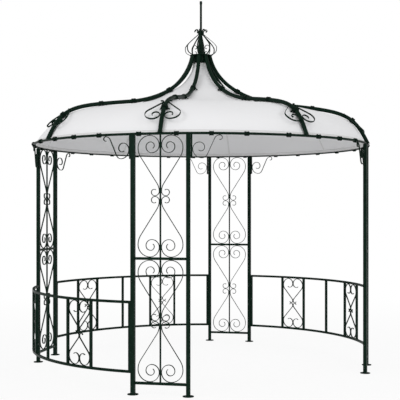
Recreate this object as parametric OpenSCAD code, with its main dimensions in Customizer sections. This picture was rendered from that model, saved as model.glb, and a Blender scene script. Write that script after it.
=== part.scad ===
// Round metal garden gazebo with four lattice frames, three curved railings,
// eight ogee roof ribs, an onion crown and a fabric roof cover.
// The origin is on the ground at the centre; the front frame faces -Y.

/* [Overall] */
// Diameter of the circle through the post centres
frame_d = 3000; // [2400:50:3800]
// Height of the post tops, under the eaves ring
eaves_h = 1965; // [1700:5:2400]
// Height of the roof from the post tops to the crown plate
roof_h = 839; // [650:1:1100]

/* [Posts and feet] */
// Width of the square posts
post_w = 32; // [25:1:50]
// Distance between the two post centres of one frame
frame_w = 430; // [410:5:520]
// Diameter of the round foot plates
foot_d = 86; // [80:1:120]
// Thickness of the foot plates
foot_t = 5; // [4:1:10]
// Diameter of the anchor holes in the foot plates
anchor_d = 9; // [6:0.5:10]
// Diameter of the circle that the anchor holes lie on
anchor_circle_d = 64; // [60:1:70]

/* [Lattice frames] */
// Thickness of the square cross bars
cross_w = 20; // [14:1:26]
// Thickness of the square centre bar
centre_w = 12; // [8:1:18]
// Height of the middle of the lower cross bar
low_cross_h = 89; // [60:1:150]
// Height of the middle of the middle cross bar
mid_cross_h = 1032; // [950:1:1100]

/* [Scrollwork] */
// Thickness of the flat bar that the scrolls are bent from
bar_t = 5; // [3:0.5:6]
// Depth of the same flat bar
bar_depth = 12; // [8:1:16]
// Free space between the scroll heads and the posts
head_space = 22; // [12:1:40]
// Radius of each quarter turn as a share of the next larger one
spiral_rate = 0.79; // [0.7:0.01:0.85]
// Radius of the small curls at the scroll tails
curl_r = 34; // [24:1:40]
// Length of the steps along the curves, in degrees
curve_step = 15; // [10:1:20]

/* [Railings] */
// Thickness of the square rails and bars
rail_w = 20; // [14:1:26]
// Height of the middle of the upper rail
top_rail_h = 700; // [600:5:950]
// Height of the middle of the lower rail
low_rail_h = 172; // [120:1:250]
// Distance along the rail from the middle bar to the scroll panel
panel_start = 315; // [260:5:340]
// Width of a scroll panel between the middles of its bars
panel_w = 265; // [240:5:300]

/* [Corner brackets] */
// Height of the brackets
bracket_h = 178; // [150:1:220]
// Width of the upright bar of a bracket
bracket_bar_w = 14; // [8:1:20]
// How far the brackets reach from their posts
bracket_reach = 236; // [220:1:300]
// Radius of the scroll at the foot of a bracket
bracket_head_r = 68; // [50:1:70]
// Slope of the straight part of the scroll
bracket_lean = 65.6; // [55:0.1:70]
// Radius of the two bends at the ends of the straight part
bracket_bend_r = 45; // [30:1:60]
// Radius of the hook at the top of a bracket
bracket_hook_r = 18; // [14:1:20]

/* [Eaves ring] */
// Diameter of the tube of the eaves ring
ring_d = 20; // [16:1:30]
// Length of the straps that tie the cover to the ring
ring_strap_l = 34; // [20:1:40]
// Wall of the ring straps
ring_strap_t = 5; // [1:0.5:6]
// Distances of the ring straps within a frame from its middle, along the ring
frame_strap_spots = [-168, 126];
// Distances of the ring straps to the right of a frame from its right post
right_strap_spots = [174, 444, 794];
// Distances of the ring straps to the left of a frame from its left post
left_strap_spots = [302, 572, 836];

/* [Roof ribs] */
// Diameter of the rib tube
rib_d = 34; // [28:1:42]
// Radius of the roof at the waist of the ogee
waist_r = 730; // [600:10:800]
// Height of the waist above the post tops
waist_h = 378; // [300:1:420]
// Slope of the ribs at the waist
waist_slope = 7.5; // [4:0.5:12]
// Wall of the straps that tie the cover to the ribs
rib_strap_t = 4; // [1:0.5:8]
// Length of the rib straps
rib_strap_l = 32; // [16:1:40]
// Distances of the rib straps from the circle of the posts, seen from above
rib_strap_insets = [137, 487, 802, 1162];
// Width of one wing of the scrolls on the rib shoulders
wing_w = 119; // [90:1:130]
// Length of the same wing
wing_l = 234; // [210:1:260]
// Distance of its upper end from the circle of the posts, seen from above
wing_inset = 211; // [190:1:250]
// Slope of the shoulder scrolls
wing_slope = 41.8; // [35:0.1:48]
// How far the same end lies above the middle of the rib
wing_lift = 12; // [8:0.5:14]

/* [Crown] */
// Diameter of the crown plate that caps the ribs
plate_d = 202; // [180:2:240]
// Thickness of the crown plate
plate_t = 6; // [4:1:12]
// Height of the drum under the crown plate
drum_h = 54; // [30:1:56]
// Widest diameter of the onion crown
onion_d = 292; // [240:2:320]
// Height of the neck of the onion crown above the crown plate
onion_h = 186; // [150:1:240]
// Height of the widest place of the onion crown
belly_h = 67; // [50:1:90]
// Radius of the neck of the onion crown
neck_r = 30; // [28:1:40]
// Widest diameter of the small scrolls inside the onion crown
inner_scroll_d = 170; // [150:2:180]
// Height of the tip of the finial above the crown plate
finial_h = 495; // [350:1:600]
// Diameter of the finial rod
finial_d = 20; // [14:1:24]

/* [Cover] */
// Thickness of the roof cover
cover_t = 3; // [1:0.5:6]
// How far the cover hangs clear of the ribs near the crown
crown_slack = 18; // [0:1:25]
// How straight the cover runs between two ribs (0 round, 1 straight)
gore_flat = 0.9; // [0:0.05:1]
// The same at the eaves ring
eaves_flat = 0; // [0:0.05:1]

/* [Hidden] */
// Gap left at each weld or seat between two pieces
weld = 0.3;
curl_rate = 0.8;
ribs = 8;
sector = 360 / ribs;
frames = 4;
bay = 360 / frames;
$fn = 48;

post_r = frame_d / 2;
half_frame = asin(frame_w / 2 / post_r);
panel_plane = post_r * cos(half_frame);
post_face = asin((post_w / 2 + weld) / (post_r - rail_w / 2));
ring_h = eaves_h + weld + ring_d / 2;
ring_top = ring_h + ring_d / 2;
plate_h = eaves_h + roof_h;
metal = [0.13, 0.2, 0.17];
cloth = [0.92, 0.92, 0.93];

// ---- Curves in a plane ------------------------------------------------------
// A curve is a start point, a heading in degrees and a list of moves. A move is
// [radius, turn]: an arc that turns left for a positive angle, or a straight
// [length, 0].

function after(p, heading, move) =
    move[1] == 0
        ? p + move[0] * [cos(heading), sin(heading)]
        : p + sign(move[1]) * move[0] * [
            sin(heading + move[1]) - sin(heading),
            cos(heading) - cos(heading + move[1])
        ];

function curve(p, heading, moves, i = 0) =
    i == len(moves)
        ? [p]
        : let (
            move = moves[i],
            steps = max(1, ceil(abs(move[1]) / curve_step))
        )
        concat(
            [p],
            steps < 2 ? [] : [
                for (k = [1 : steps - 1])
                    after(p, heading, [move[0], move[1] * k / steps])
            ],
            curve(after(p, heading, move), heading + move[1], moves, i + 1)
        );

function backwards(pts) = [for (i = [len(pts) - 1 : -1 : 0]) pts[i]];

// A curve and the curve that starts where it ends, as one
function joined(a, b) = concat(a, [for (i = [1 : len(b) - 1]) b[i]]);

// Two curves that leave the same point, as one
function both_ways(a, b) = joined(backwards(a), b);

function unit(v) = v / norm(v);
function across(v) = [-v[1], v[0]];

// Direction along a list of points at point i
function along(pts, i) =
    unit(pts[min(i + 1, len(pts) - 1)] - pts[max(i - 1, 0)]);

// Outline of a band of width w that follows the points
function band(pts, w) = concat(
    [for (i = [0 : len(pts) - 1]) pts[i] + across(along(pts, i)) * w / 2],
    [for (i = [len(pts) - 1 : -1 : 0]) pts[i] - across(along(pts, i)) * w / 2]
);

// Quarter turns of a spiral that winds inwards, from radius r
function winding(r, rate, quarters, last) = concat(
    [for (k = [0 : quarters - 1]) [r * pow(rate, k), -90]],
    [[r * pow(rate, quarters), -last]]
);

// S-scroll of one bar. Its head winds inwards from the point `side`, the
// outermost point of the scroll; below it the bar bends by `bend_r`, runs
// straight, bends back by `back_r` and touches the line x = tail[0] at
// height tail[1], where the small curl begins.
function s_scroll(side, head_r, rate, quarters, last, bend_r, tail, back_r,
                  tail_r, tail_quarters, tail_last) =
    let (
        reach = bend_r + back_r,
        gap = [tail[0] - back_r, tail[1]] - [side[0] + bend_r, side[1]],
        lean = asin(reach / norm(gap)) + atan2(gap[0], -gap[1]),
        run = sqrt(norm(gap) * norm(gap) - reach * reach)
    )
    both_ways(
        curve(side, 90, winding(head_r, rate, quarters, last)),
        curve(side, -90, concat(
            [[bend_r, lean], [run, 0], [back_r, -lean]],
            winding(tail_r, curl_rate, tail_quarters, tail_last)
        ))
    );

// Flat bar bent along the points, which are drawn as [x, z]
module bent_bar(pts) {
    rotate([90, 0, 0])
        linear_extrude(bar_depth, center = true)
            polygon(band(pts, bar_t));
}

// Repeats a shape in all four quarters about the point (0, height)
module four_ways(height) {
    for (left = [0, 1], low = [0, 1])
        translate([0, 0, height])
            mirror([left, 0, 0])
                mirror([0, 0, low])
                    translate([0, 0, -height])
                        children();
}

// Turns a piece that is drawn on the front, at radius r, to its azimuth
module at_azimuth(azimuth, r = 0) {
    rotate([0, 0, azimuth])
        translate([0, -r, 0])
            children();
}

// ---- Feet and posts ---------------------------------------------------------

module post_block(grow = 0) {
    w = post_w + 2 * grow;
    translate([-w / 2, -w / 2, foot_t])
        cube([w, w, eaves_h - foot_t]);
}

module post(side, end) {
    color(metal)
        at_azimuth(side * bay + end * half_frame, post_r)
            post_block();
}

module foot_plates() {
    color(metal)
        for (side = [0 : frames - 1], end = [-1, 1])
            at_azimuth(side * bay + end * half_frame, post_r)
                difference() {
                    cylinder(d = foot_d, h = foot_t);
                    for (a = [0 : 90 : 270])
                        rotate([0, 0, a])
                            translate([anchor_circle_d / 2, 0, -1])
                                cylinder(d = anchor_d, h = foot_t + 2);
                }
}

// ---- Lattice frames ---------------------------------------------------------

module frame_bars() {
    difference() {
        union() {
            for (h = [low_cross_h, mid_cross_h])
                translate([0, 0, h])
                    cube([frame_w, cross_w, cross_w], center = true);
            translate([-centre_w / 2, -centre_w / 2, low_cross_h])
                cube([centre_w, centre_w, frame_top - low_cross_h]);
        }
        for (end = [-1, 1])
            translate([0, panel_plane, 0])
                at_azimuth(end * half_frame, post_r)
                    post_block(weld);
    }
}

// The centre bar ends where its outer edge meets the eaves ring, or beside the
// middle of the ring where a wide frame stands further in
frame_top = ring_h - weld - sqrt(max(
    0, pow(ring_d / 2, 2) - pow(max(0, post_r - panel_plane - centre_w / 2), 2)
));

module lattice_cell(low, high) {
    middle = (low + high) / 2;
    inner = (centre_w + bar_t) / 2 + weld;
    outer = (frame_w - post_w) / 2 - head_space - bar_t / 2;
    head_r = (outer - inner) / (1 + spiral_rate);
    top = high - bar_t / 2 - weld;
    four_ways(middle)
        bent_bar(s_scroll(
            side = [-outer, top - head_r],
            head_r = head_r, rate = spiral_rate, quarters = 6, last = 60,
            bend_r = 130,
            tail = [-inner, middle + curl_r + (bar_t + weld) / 2],
            back_r = 110,
            tail_r = curl_r, tail_quarters = 3, tail_last = 50
        ));
}

module lattice(side) {
    color(metal)
        at_azimuth(side * bay, panel_plane) {
            frame_bars();
            lattice_cell(low_cross_h + cross_w / 2, mid_cross_h - cross_w / 2);
            lattice_cell(mid_cross_h + cross_w / 2, eaves_h);
        }
}

// ---- Railings ---------------------------------------------------------------

// Azimuth from the middle of a bay, for a distance along the rail
function along_rail(distance) = distance / post_r * 180 / PI;

rail_end = bay / 2 - half_frame - post_face;

module arc_rail(height) {
    translate([0, 0, height - rail_w / 2])
        rotate([0, 0, -90])
            rotate_extrude(angle = 2 * rail_end, start = -rail_end, $fn = 360)
                translate([post_r - rail_w / 2, 0])
                    square([rail_w, rail_w]);
}

module rails(k) {
    color(metal)
        at_azimuth((k + 1.5) * bay) {
            arc_rail(low_rail_h);
            arc_rail(top_rail_h);
        }
}

module bars(k) {
    low = low_rail_h + rail_w / 2 + weld;
    high = top_rail_h - rail_w / 2 - weld;
    end_bar = rail_end - along_rail(rail_w / 2 + weld);
    inner = along_rail(panel_start);
    outer = along_rail(panel_start + panel_w);
    color(metal)
        for (a = [-end_bar, -outer, -inner, 0, inner, outer, end_bar])
            at_azimuth((k + 1.5) * bay + a, post_r)
                translate([-rail_w / 2, -rail_w / 2, low])
                    cube([rail_w, rail_w, high - low]);
}

module railing_motif() {
    low = low_rail_h + rail_w / 2;
    high = top_rail_h - rail_w / 2;
    middle = (low + high) / 2;
    turn = along_rail(panel_w / 2);
    half = post_r * sin(turn) - rail_w / 2 / cos(turn)
        - bar_depth / 2 * tan(turn);
    inner = (bar_t + weld) / 2;
    outer = half - weld - bar_t / 2;
    rate = 0.77;
    head_r = (outer - inner) / (1 + rate);
    hook_r = 20;
    four_ways(middle)
        bent_bar(s_scroll(
            side = [-outer, high - weld - bar_t / 2 - head_r],
            head_r = head_r, rate = rate, quarters = 3, last = 45,
            bend_r = 60,
            tail = [-inner, middle + hook_r + (bar_t + weld) / 2],
            back_r = 30,
            tail_r = hook_r, tail_quarters = 1, tail_last = 80
        ));
}

module scrolls(k) {
    middle = panel_start + panel_w / 2;
    color(metal)
        for (end = [-1, 1])
            at_azimuth((k + 1.5) * bay + end * along_rail(middle),
                       post_r * cos(along_rail(panel_w / 2)))
                railing_motif();
}

// ---- Corner brackets --------------------------------------------------------

// The bracket is drawn to the right of the post, with x = 0 on the post and
// z = 0 at the top of the posts.
module bracket() {
    left = bracket_bar_w + weld + bar_t / 2;
    low = -bracket_h + bar_t / 2;
    hook_top = -weld - bar_t / 2;
    rise = hook_top - low - 2 * bracket_bend_r * (1 - cos(bracket_lean));
    bottom = [left + bracket_head_r, low];
    translate([weld, -bar_depth / 2, -bracket_h])
        cube([bracket_bar_w, bar_depth, bracket_h - weld]);
    bent_bar(both_ways(
        curve(bottom, 180, winding(bracket_head_r, 0.75, 4, 50)),
        curve(bottom, 0, [
            [bracket_bend_r, bracket_lean],
            [rise / sin(bracket_lean), 0],
            [bracket_bend_r, -bracket_lean],
            [bracket_hook_r, -90],
            [0.9 * bracket_hook_r, -90],
            [0.7 * bracket_hook_r, -30]
        ])
    ));
}

// A bracket stands on the chord between its post and the end of its hook
module brackets(side) {
    half = asin(bracket_reach / 2 / post_r);
    start = along_rail(post_w / 2 + bar_depth / 2 * sin(2 * half));
    color(metal)
        for (right = [0, 1])
            rotate([0, 0, side * bay])
                mirror([1 - right, 0, 0])
                    at_azimuth(half_frame + start + half, post_r * cos(half))
                        translate([-bracket_reach / 2, 0, eaves_h])
                            bracket();
}

// ---- Eaves ring -------------------------------------------------------------

module ring(side) {
    joint = along_rail(weld);
    color(metal)
        translate([0, 0, ring_h])
            rotate([0, 0, side * bay - 90 + joint / 2])
                rotate_extrude(angle = bay - joint, $fn = 360)
                    translate([post_r, 0])
                        circle(d = ring_d, $fn = 32);
}

module ring_straps() {
    half = half_frame / 180 * PI * post_r;
    spots = concat(
        frame_strap_spots,
        [for (spot = right_strap_spots) half + spot],
        [for (spot = left_strap_spots) -half - spot]
    );
    color(metal)
        for (side = [0 : frames - 1], spot = spots)
            at_azimuth(side * bay + along_rail(spot), post_r)
                translate([0, 0, ring_h])
                    rotate([0, 90, 0])
                        difference() {
                            cylinder(d = ring_d + 2 * (weld + ring_strap_t),
                                     h = ring_strap_l, center = true);
                            cylinder(d = ring_d + 2 * weld, h = ring_strap_l + 2,
                                     center = true);
                        }
}

// ---- Roof ribs --------------------------------------------------------------

// Point [radius, height] on a cubic curve through its end points a and d
function cubic(a, b, c, d, t) =
    pow(1 - t, 3) * a + 3 * pow(1 - t, 2) * t * b
    + 3 * (1 - t) * t * t * c + pow(t, 3) * d;

waist = [waist_r, eaves_h + waist_h];
slope = [-cos(waist_slope), sin(waist_slope)];
foot = [post_r, ring_top + weld];
rib_top = [plate_d / 2 - rib_d / 2 - 2, plate_h - weld];
rib_steps = 14;

// The handles of the two cubics, as shares of the spans on either side of the
// waist, so that the ogee keeps its form at other sizes
lower_span = foot - waist;
upper_span = waist - rib_top;
foot_handle = foot + [-0.17 * lower_span[0], -0.79 * lower_span[1]];
outer_handle = waist - 0.715 * lower_span[0] * slope;
inner_handle = waist + 0.485 * upper_span[0] * slope;
top_handle = rib_top + [0.088 * upper_span[0], 0.59 * upper_span[1]];

RIB = concat(
    [for (i = [0 : rib_steps])
        cubic(foot, foot_handle, outer_handle, waist, i / rib_steps)],
    [for (i = [1 : rib_steps])
        cubic(waist, inner_handle, top_handle, rib_top, i / rib_steps)]
);

function rib_dir(i) =
    i == 0 || i == len(RIB) - 1 ? [0, 1] : along(RIB, i);

// Tube of `sides` sides around the rib curve
module rib_tube(sides = 12) {
    rings = len(RIB);
    points = [
        for (i = [0 : rings - 1], k = [0 : sides - 1])
            let (
                a = 360 * (k + 0.5) / sides,
                p = RIB[i] + across(rib_dir(i)) * -cos(a) * rib_d / 2
            )
            [sin(a) * rib_d / 2, -p[0], p[1]]
    ];
    walls = [
        for (i = [0 : rings - 2], k = [0 : sides - 1])
            let (n = (k + 1) % sides)
            [i * sides + k, (i + 1) * sides + k, (i + 1) * sides + n, i * sides + n]
    ];
    polyhedron(
        points,
        concat(
            walls,
            [[for (k = [0 : sides - 1]) k]],
            [[for (k = [sides - 1 : -1 : 0]) (rings - 1) * sides + k]]
        )
    );
}

// Point of the rib curve at a given radius, with its direction. It keeps the
// margin from both ends of its straight stretch, so that a strap fits there.
function rib_at(radius, margin = 0, i = 0) =
    RIB[i + 1][0] > radius
        ? rib_at(radius, margin, i + 1)
        : let (
            span = RIB[i + 1] - RIB[i],
            end = margin / norm(span),
            share = (radius - RIB[i][0]) / span[0]
        )
        [RIB[i] + max(end, min(1 - end, share)) * span, unit(span)];

// Two scrolls that stand out from the sides of a rib, over its shoulder. They
// lie in a sloping plane, and touch the rib at both ends.
module shoulder_scrolls() {
    inner = rib_d / 2 + weld + bar_t / 2;
    outer = inner + wing_w;
    rate = 0.72;
    bend_r = 60;
    hook_r = 14;
    lean = 45;
    side = [outer, -wing_l + wing_w / (1 + rate)];
    run = (wing_w - (bend_r + hook_r) * (1 - cos(lean))) / sin(lean);
    spot = rib_at(post_r - wing_inset);
    start = spot[0] + across(spot[1]) * -wing_lift;
    translate([0, -start[0], start[1]])
        rotate([wing_slope - 90, 0, 0])
            for (left = [0, 1])
                mirror([left, 0, 0])
                    bent_bar(both_ways(
                        curve(side, -90, winding(wing_w / (1 + rate), rate, 4, 45)),
                        curve(side, 90, [
                            [bend_r, lean],
                            [run, 0],
                            [hook_r, -lean - 90],
                            [0.8 * hook_r, -60]
                        ])
                    ));
}

module rib(k) {
    color(metal)
        at_azimuth(k * sector) {
            rib_tube();
            shoulder_scrolls();
        }
}

module rib_strap() {
    outer_d = rib_d + 2 * (weld + rib_strap_t);
    difference() {
        rotate([90, 0, 0])
            cylinder(d = outer_d, h = rib_strap_l, center = true);
        rotate([90, 0, 0])
            cylinder(d = rib_d + 2 * weld, h = rib_strap_l + 2, center = true);
        // Open at the bottom, where the cover lies against the rib
        translate([0, 0, 1 - (outer_d + rib_d) / 2])
            cube([outer_d + 2, rib_strap_l + 2, outer_d], center = true);
    }
}

module rib_straps() {
    color(metal)
        for (k = [0 : ribs - 1], inset = rib_strap_insets)
            let (spot = rib_at(post_r - inset, rib_strap_l / 2 + 1))
            at_azimuth(k * sector)
                translate([0, -spot[0][0], spot[0][1]])
                    rotate([atan2(spot[1][1], -spot[1][0]), 0, 0])
                        rib_strap();
}

// ---- Crown ------------------------------------------------------------------

module crown_plate() {
    drum_r = rib_top[0] - rib_d / 2 - weld;
    color(metal)
        rotate_extrude() {
            translate([0, plate_h])
                square([plate_d / 2, plate_t]);
            translate([drum_r - 4, plate_h - drum_h])
                square([4, drum_h]);
        }
}

crown_low = plate_h + plate_t + weld;
belly = [onion_d / 2, crown_low + belly_h];
neck = [neck_r, crown_low + onion_h];
neck_heading = 138;
neck_bend_r = 18;
collar_r = neck_r - neck_bend_r * (1 - sin(neck_heading)) - bar_t / 2 - weld;

module onion_bar() {
    base = [plate_d / 2 - 5, crown_low + bar_t / 2];
    into_neck = [cos(neck_heading), sin(neck_heading)];
    lower = [for (i = [0 : 8])
        cubic(base, base + 0.6 * belly_h * [1, 0.3],
              belly - [0, 0.55 * belly_h], belly, i / 8)];
    upper = [for (i = [0 : 12])
        cubic(belly, belly + [0, 0.23 * (onion_h - belly_h)],
              neck - 60 * into_neck, neck, i / 12)];
    hook = curve(neck, neck_heading, [
        [neck_bend_r, -63], [12, 0], [26, -40], [13, -115], [10, -60]
    ]);
    bent_bar(joined(joined(lower, upper), hook));
}

// C-scroll inside the onion crown, with both ends curled in towards the spindle
module inner_scroll() {
    bulge_r = 70;
    bulge = 30;
    end_r = 20;
    eye = [0.6 * end_r, 120];
    half_h = bulge_r * sin(bulge) + end_r * (1 - sin(bulge)) + bar_t / 2;
    side = [inner_scroll_d / 2, crown_low + half_h];
    bent_bar(both_ways(
        curve(side, 90, [[bulge_r, bulge], [end_r, 150], eye]),
        curve(side, -90, [[bulge_r, -bulge], [end_r, -150], [eye[0], -eye[1]]])
    ));
}

module onion_crown() {
    color(metal) {
        for (k = [0 : ribs - 1])
            rotate([0, 0, k * sector - 90])
                onion_bar();
        for (k = [0 : frames - 1])
            rotate([0, 0, k * bay - 90])
                inner_scroll();
    }
}

// Turned spindle with a flange at its foot, a collar in the neck of the onion
// crown and a plain rod above it
module finial() {
    rod_r = finial_d / 2;
    tip = plate_h + plate_t + finial_h;
    color(metal)
        rotate_extrude()
            polygon([
                [0, crown_low], [28, crown_low], [28, crown_low + 6],
                [24, crown_low + 16], [21, crown_low + 34],
                [25, crown_low + 62], [22, crown_low + 110],
                [13, neck[1] - 10], [collar_r, neck[1]], [collar_r, neck[1] + 20],
                [rod_r, neck[1] + 32], [rod_r, tip - 30],
                [rod_r + 2, tip - 28], [rod_r + 2, tip - 6],
                [rod_r - 3, tip], [0, tip]
            ]);
}

// ---- Cover ------------------------------------------------------------------

function smooth(x) = let (s = min(1, max(0, x))) s * s * (3 - 2 * s);

// Above the innermost rib straps the cover hangs clear of the ribs
slack_start = post_r - max(rib_strap_insets);
slack_run = 0.47 * slack_start;

// Rows of the cover from the eaves to the crown: every second rib point, every
// one in the hollow of the ogee, where a long chord would cut the ribs, and the
// last one under the crown
top_row = len(RIB) - 2;
cover_rows = [
    for (i = [0 : top_row])
        if (i % 2 == 0 || i == top_row || (i > rib_steps && RIB[i][0] > slack_start)) i
];

// Point [radius, height] on the cover under a rib, `depth` below its top skin
function cover_at(i, depth) =
    let (slack = crown_slack * smooth((slack_start - RIB[i][0]) / slack_run))
    RIB[i] + across(along(RIB, i)) * (rib_d / 2 + weld + slack + depth);

// Share of the rib radius at an angle from the rib
function gore(a, flat) = 1 - flat * (1 - cos(sector / 2) / cos(sector / 2 - a));

module cover() {
    columns = 4;
    around = ribs * columns;
    rows = len(cover_rows);
    skin = [
        for (depth = [0, cover_t], row = [0 : rows - 1], k = [0 : around - 1])
            let (
                p = cover_at(cover_rows[row], depth),
                step = k % columns,
                from_rib = min(step, columns - step) * sector / columns,
                flat = eaves_flat
                    + (gore_flat - eaves_flat) * smooth(row / rows * 3),
                r = p[0] * gore(from_rib, flat),
                azimuth = k * 360 / around
            )
            [r * sin(azimuth), -r * cos(azimuth), p[1]]
    ];
    size = rows * around;
    function at(layer, row, k) = layer * size + row * around + k % around;
    color(cloth)
        polyhedron(
            skin,
            concat(
                [for (row = [0 : rows - 2], k = [0 : around - 1])
                    each [
                        [at(0, row, k), at(0, row + 1, k), at(0, row + 1, k + 1)],
                        [at(0, row, k), at(0, row + 1, k + 1), at(0, row, k + 1)],
                        [at(1, row, k), at(1, row + 1, k + 1), at(1, row + 1, k)],
                        [at(1, row, k), at(1, row, k + 1), at(1, row + 1, k + 1)]
                    ]],
                [for (k = [0 : around - 1])
                    each [
                        [at(0, 0, k), at(0, 0, k + 1), at(1, 0, k + 1)],
                        [at(0, 0, k), at(1, 0, k + 1), at(1, 0, k)],
                        [at(0, rows - 1, k), at(1, rows - 1, k + 1),
                         at(0, rows - 1, k + 1)],
                        [at(0, rows - 1, k), at(1, rows - 1, k),
                         at(1, rows - 1, k + 1)]
                    ]]
            )
        );
}

// ---- Pieces -----------------------------------------------------------------

foot_plates();
post(0, -1);  // post_front_left
post(0, 1);  // post_front_right
post(1, -1);  // post_right_front
post(1, 1);  // post_right_back
post(2, -1);  // post_back_right
post(2, 1);  // post_back_left
post(3, -1);  // post_left_back
post(3, 1);  // post_left_front
lattice(0);  // lattice_front
lattice(1);  // lattice_right
lattice(2);  // lattice_back
lattice(3);  // lattice_left
rails(0);  // rails_right_back
rails(1);  // rails_back_left
rails(2);  // rails_left_front
bars(0);  // bars_right_back
bars(1);  // bars_back_left
bars(2);  // bars_left_front
scrolls(0);  // scrolls_right_back
scrolls(1);  // scrolls_back_left
scrolls(2);  // scrolls_left_front
brackets(0);  // brackets_front
brackets(1);  // brackets_right
brackets(2);  // brackets_back
brackets(3);  // brackets_left
ring(0);  // ring_front_right
ring(1);  // ring_right_back
ring(2);  // ring_back_left
ring(3);  // ring_left_front
ring_straps();
rib(0);  // rib_front
rib(1);  // rib_front_right
rib(2);  // rib_right
rib(3);  // rib_right_back
rib(4);  // rib_back
rib(5);  // rib_back_left
rib(6);  // rib_left
rib(7);  // rib_left_front
rib_straps();
crown_plate();
onion_crown();
finial();
cover();
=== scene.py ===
"""Round metal garden gazebo: the finish and fine detail of every piece, built on its packed frame.

Lengths are in metres, angles in degrees. Flat work is drawn as [x, z] on the front,
which faces -Y, and then turned about the middle of the gazebo to its side.
"""

import math

import bmesh
import bpy
from bmesh.types import BMEdge, BMVert
from bpy.props import FloatProperty, FloatVectorProperty, IntProperty, PointerProperty
from bpy.types import Operator, Panel, PropertyGroup
from mathutils import Matrix, Vector, noise


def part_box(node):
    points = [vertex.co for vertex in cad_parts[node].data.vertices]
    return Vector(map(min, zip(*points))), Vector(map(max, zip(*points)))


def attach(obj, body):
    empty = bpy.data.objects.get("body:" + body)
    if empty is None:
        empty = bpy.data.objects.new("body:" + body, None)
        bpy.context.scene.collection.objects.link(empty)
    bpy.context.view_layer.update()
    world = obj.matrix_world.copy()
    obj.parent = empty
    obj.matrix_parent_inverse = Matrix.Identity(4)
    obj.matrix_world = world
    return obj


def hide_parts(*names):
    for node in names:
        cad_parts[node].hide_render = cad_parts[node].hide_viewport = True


bl_info = {
    "name": "Round Garden Gazebo",
    "version": (1, 0, 0),
    "blender": (4, 5, 0),
    "location": "View3D > Sidebar > Gazebo",
    "description": "Builds the finished pieces of a round metal gazebo with a fabric roof",
    "category": "Object",
}

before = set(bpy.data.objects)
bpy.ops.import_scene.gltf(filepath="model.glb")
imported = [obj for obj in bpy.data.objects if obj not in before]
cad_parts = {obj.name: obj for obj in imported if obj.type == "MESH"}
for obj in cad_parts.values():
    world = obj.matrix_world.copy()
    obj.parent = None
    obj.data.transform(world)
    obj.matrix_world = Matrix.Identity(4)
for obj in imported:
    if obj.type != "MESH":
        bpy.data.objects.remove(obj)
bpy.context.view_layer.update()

SIDES = ("front", "right", "back", "left")
BAYS = ("right_back", "back_left", "left_front")
RING_PARTS = ("front_right", "right_back", "back_left", "left_front")
RIBS = ("front", "front_right", "right", "right_back", "back", "back_left", "left", "left_front")
BAY = 90.0  # degrees from one frame to the next
SECTOR = 45.0  # degrees from one rib to the next
FINE = 9.0  # the most that one step of a bend turns, in degrees

# Places of the straps. On the ring they are distances along it from the middle of a frame,
# or from its right or left post; on a rib they are distances in from the posts' circle.
FRAME_STRAPS = (-0.168, 0.126)
RIGHT_STRAPS = (0.174, 0.444, 0.794)
LEFT_STRAPS = (0.302, 0.572, 0.836)
RIB_STRAPS = (0.137, 0.487, 0.802, 1.162)


# ---- Sizes and colours -------------------------------------------------------


def low(node):
    """Lowest corner of a node of the frame."""
    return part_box(node)[0]


def high(node):
    """Highest corner of a node of the frame."""
    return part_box(node)[1]


def length(name, default, description):
    """A size that is shown as a length."""
    return FloatProperty(
        name=name, description=description, default=default, min=0.0, unit="LENGTH", precision=4
    )


def share(name, default, description):
    """A number between 0 and 1."""
    return FloatProperty(
        name=name, description=description, default=default, min=0.0, max=1.0, subtype="FACTOR"
    )


def angle(name, default, description):
    """A number of degrees."""
    return FloatProperty(name=name, description=description, default=default)


def colour(name, default, description):
    """A colour, as linear red, green and blue."""
    return FloatVectorProperty(
        name=name, description=description, default=default, size=3, subtype="COLOR",
        min=0.0, max=1.0
    )


RING_TUBE = high("ring_front_right").z - low("ring_front_right").z
CROSS_BAR = 0.020


class FrameSizes(PropertyGroup):
    """Posts, feet, cross bars and railings"""

    radius: length(
        "Radius", high("ring_front_right").x - RING_TUBE / 2, "Radius of the circle of the posts"
    )
    post_top: length("Post top", high("post_front_left").z, "Height of the tops of the posts")
    frame_width: length("Frame width", 0.430, "Distance between the two posts of a frame")
    post: length("Post", 0.032, "Width of the square posts")
    foot_radius: length("Foot radius", 0.043, "Radius of the foot plates")
    foot_top: length("Foot top", high("foot_plates").z, "Thickness of the foot plates")
    anchor_radius: length("Anchor radius", 0.0045, "Radius of the anchor holes")
    anchor_circle: length("Anchor circle", 0.032, "Radius of the circle of the anchor holes")
    cross_bar: length("Cross bar", CROSS_BAR, "Width of the cross bars and the railing bars")
    centre_bar: length("Centre bar", 0.012, "Width of the upright in the middle of a frame")
    low_cross: length("Lower cross bar", 0.089, "Height of the middle of the lower cross bar")
    mid_cross: length("Middle cross bar", 1.032, "Height of the middle of the middle cross bar")
    low_rail: length(
        "Lower rail", low("rails_right_back").z + CROSS_BAR / 2,
        "Height of the middle of the lower rail"
    )
    top_rail: length(
        "Upper rail", high("rails_right_back").z - CROSS_BAR / 2,
        "Height of the middle of the upper rail"
    )
    panel_start: length("Panel start", 0.315, "Distance from the middle bar to a scroll panel")
    panel_width: length("Panel width", 0.265, "Width of a scroll panel along the rail")
    tube_corner: length("Tube corner", 0.0028, "Radius of the corners of the square tubes")
    weld_bead: length("Weld bead", 0.0028, "Radius of the weld beads")


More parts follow.
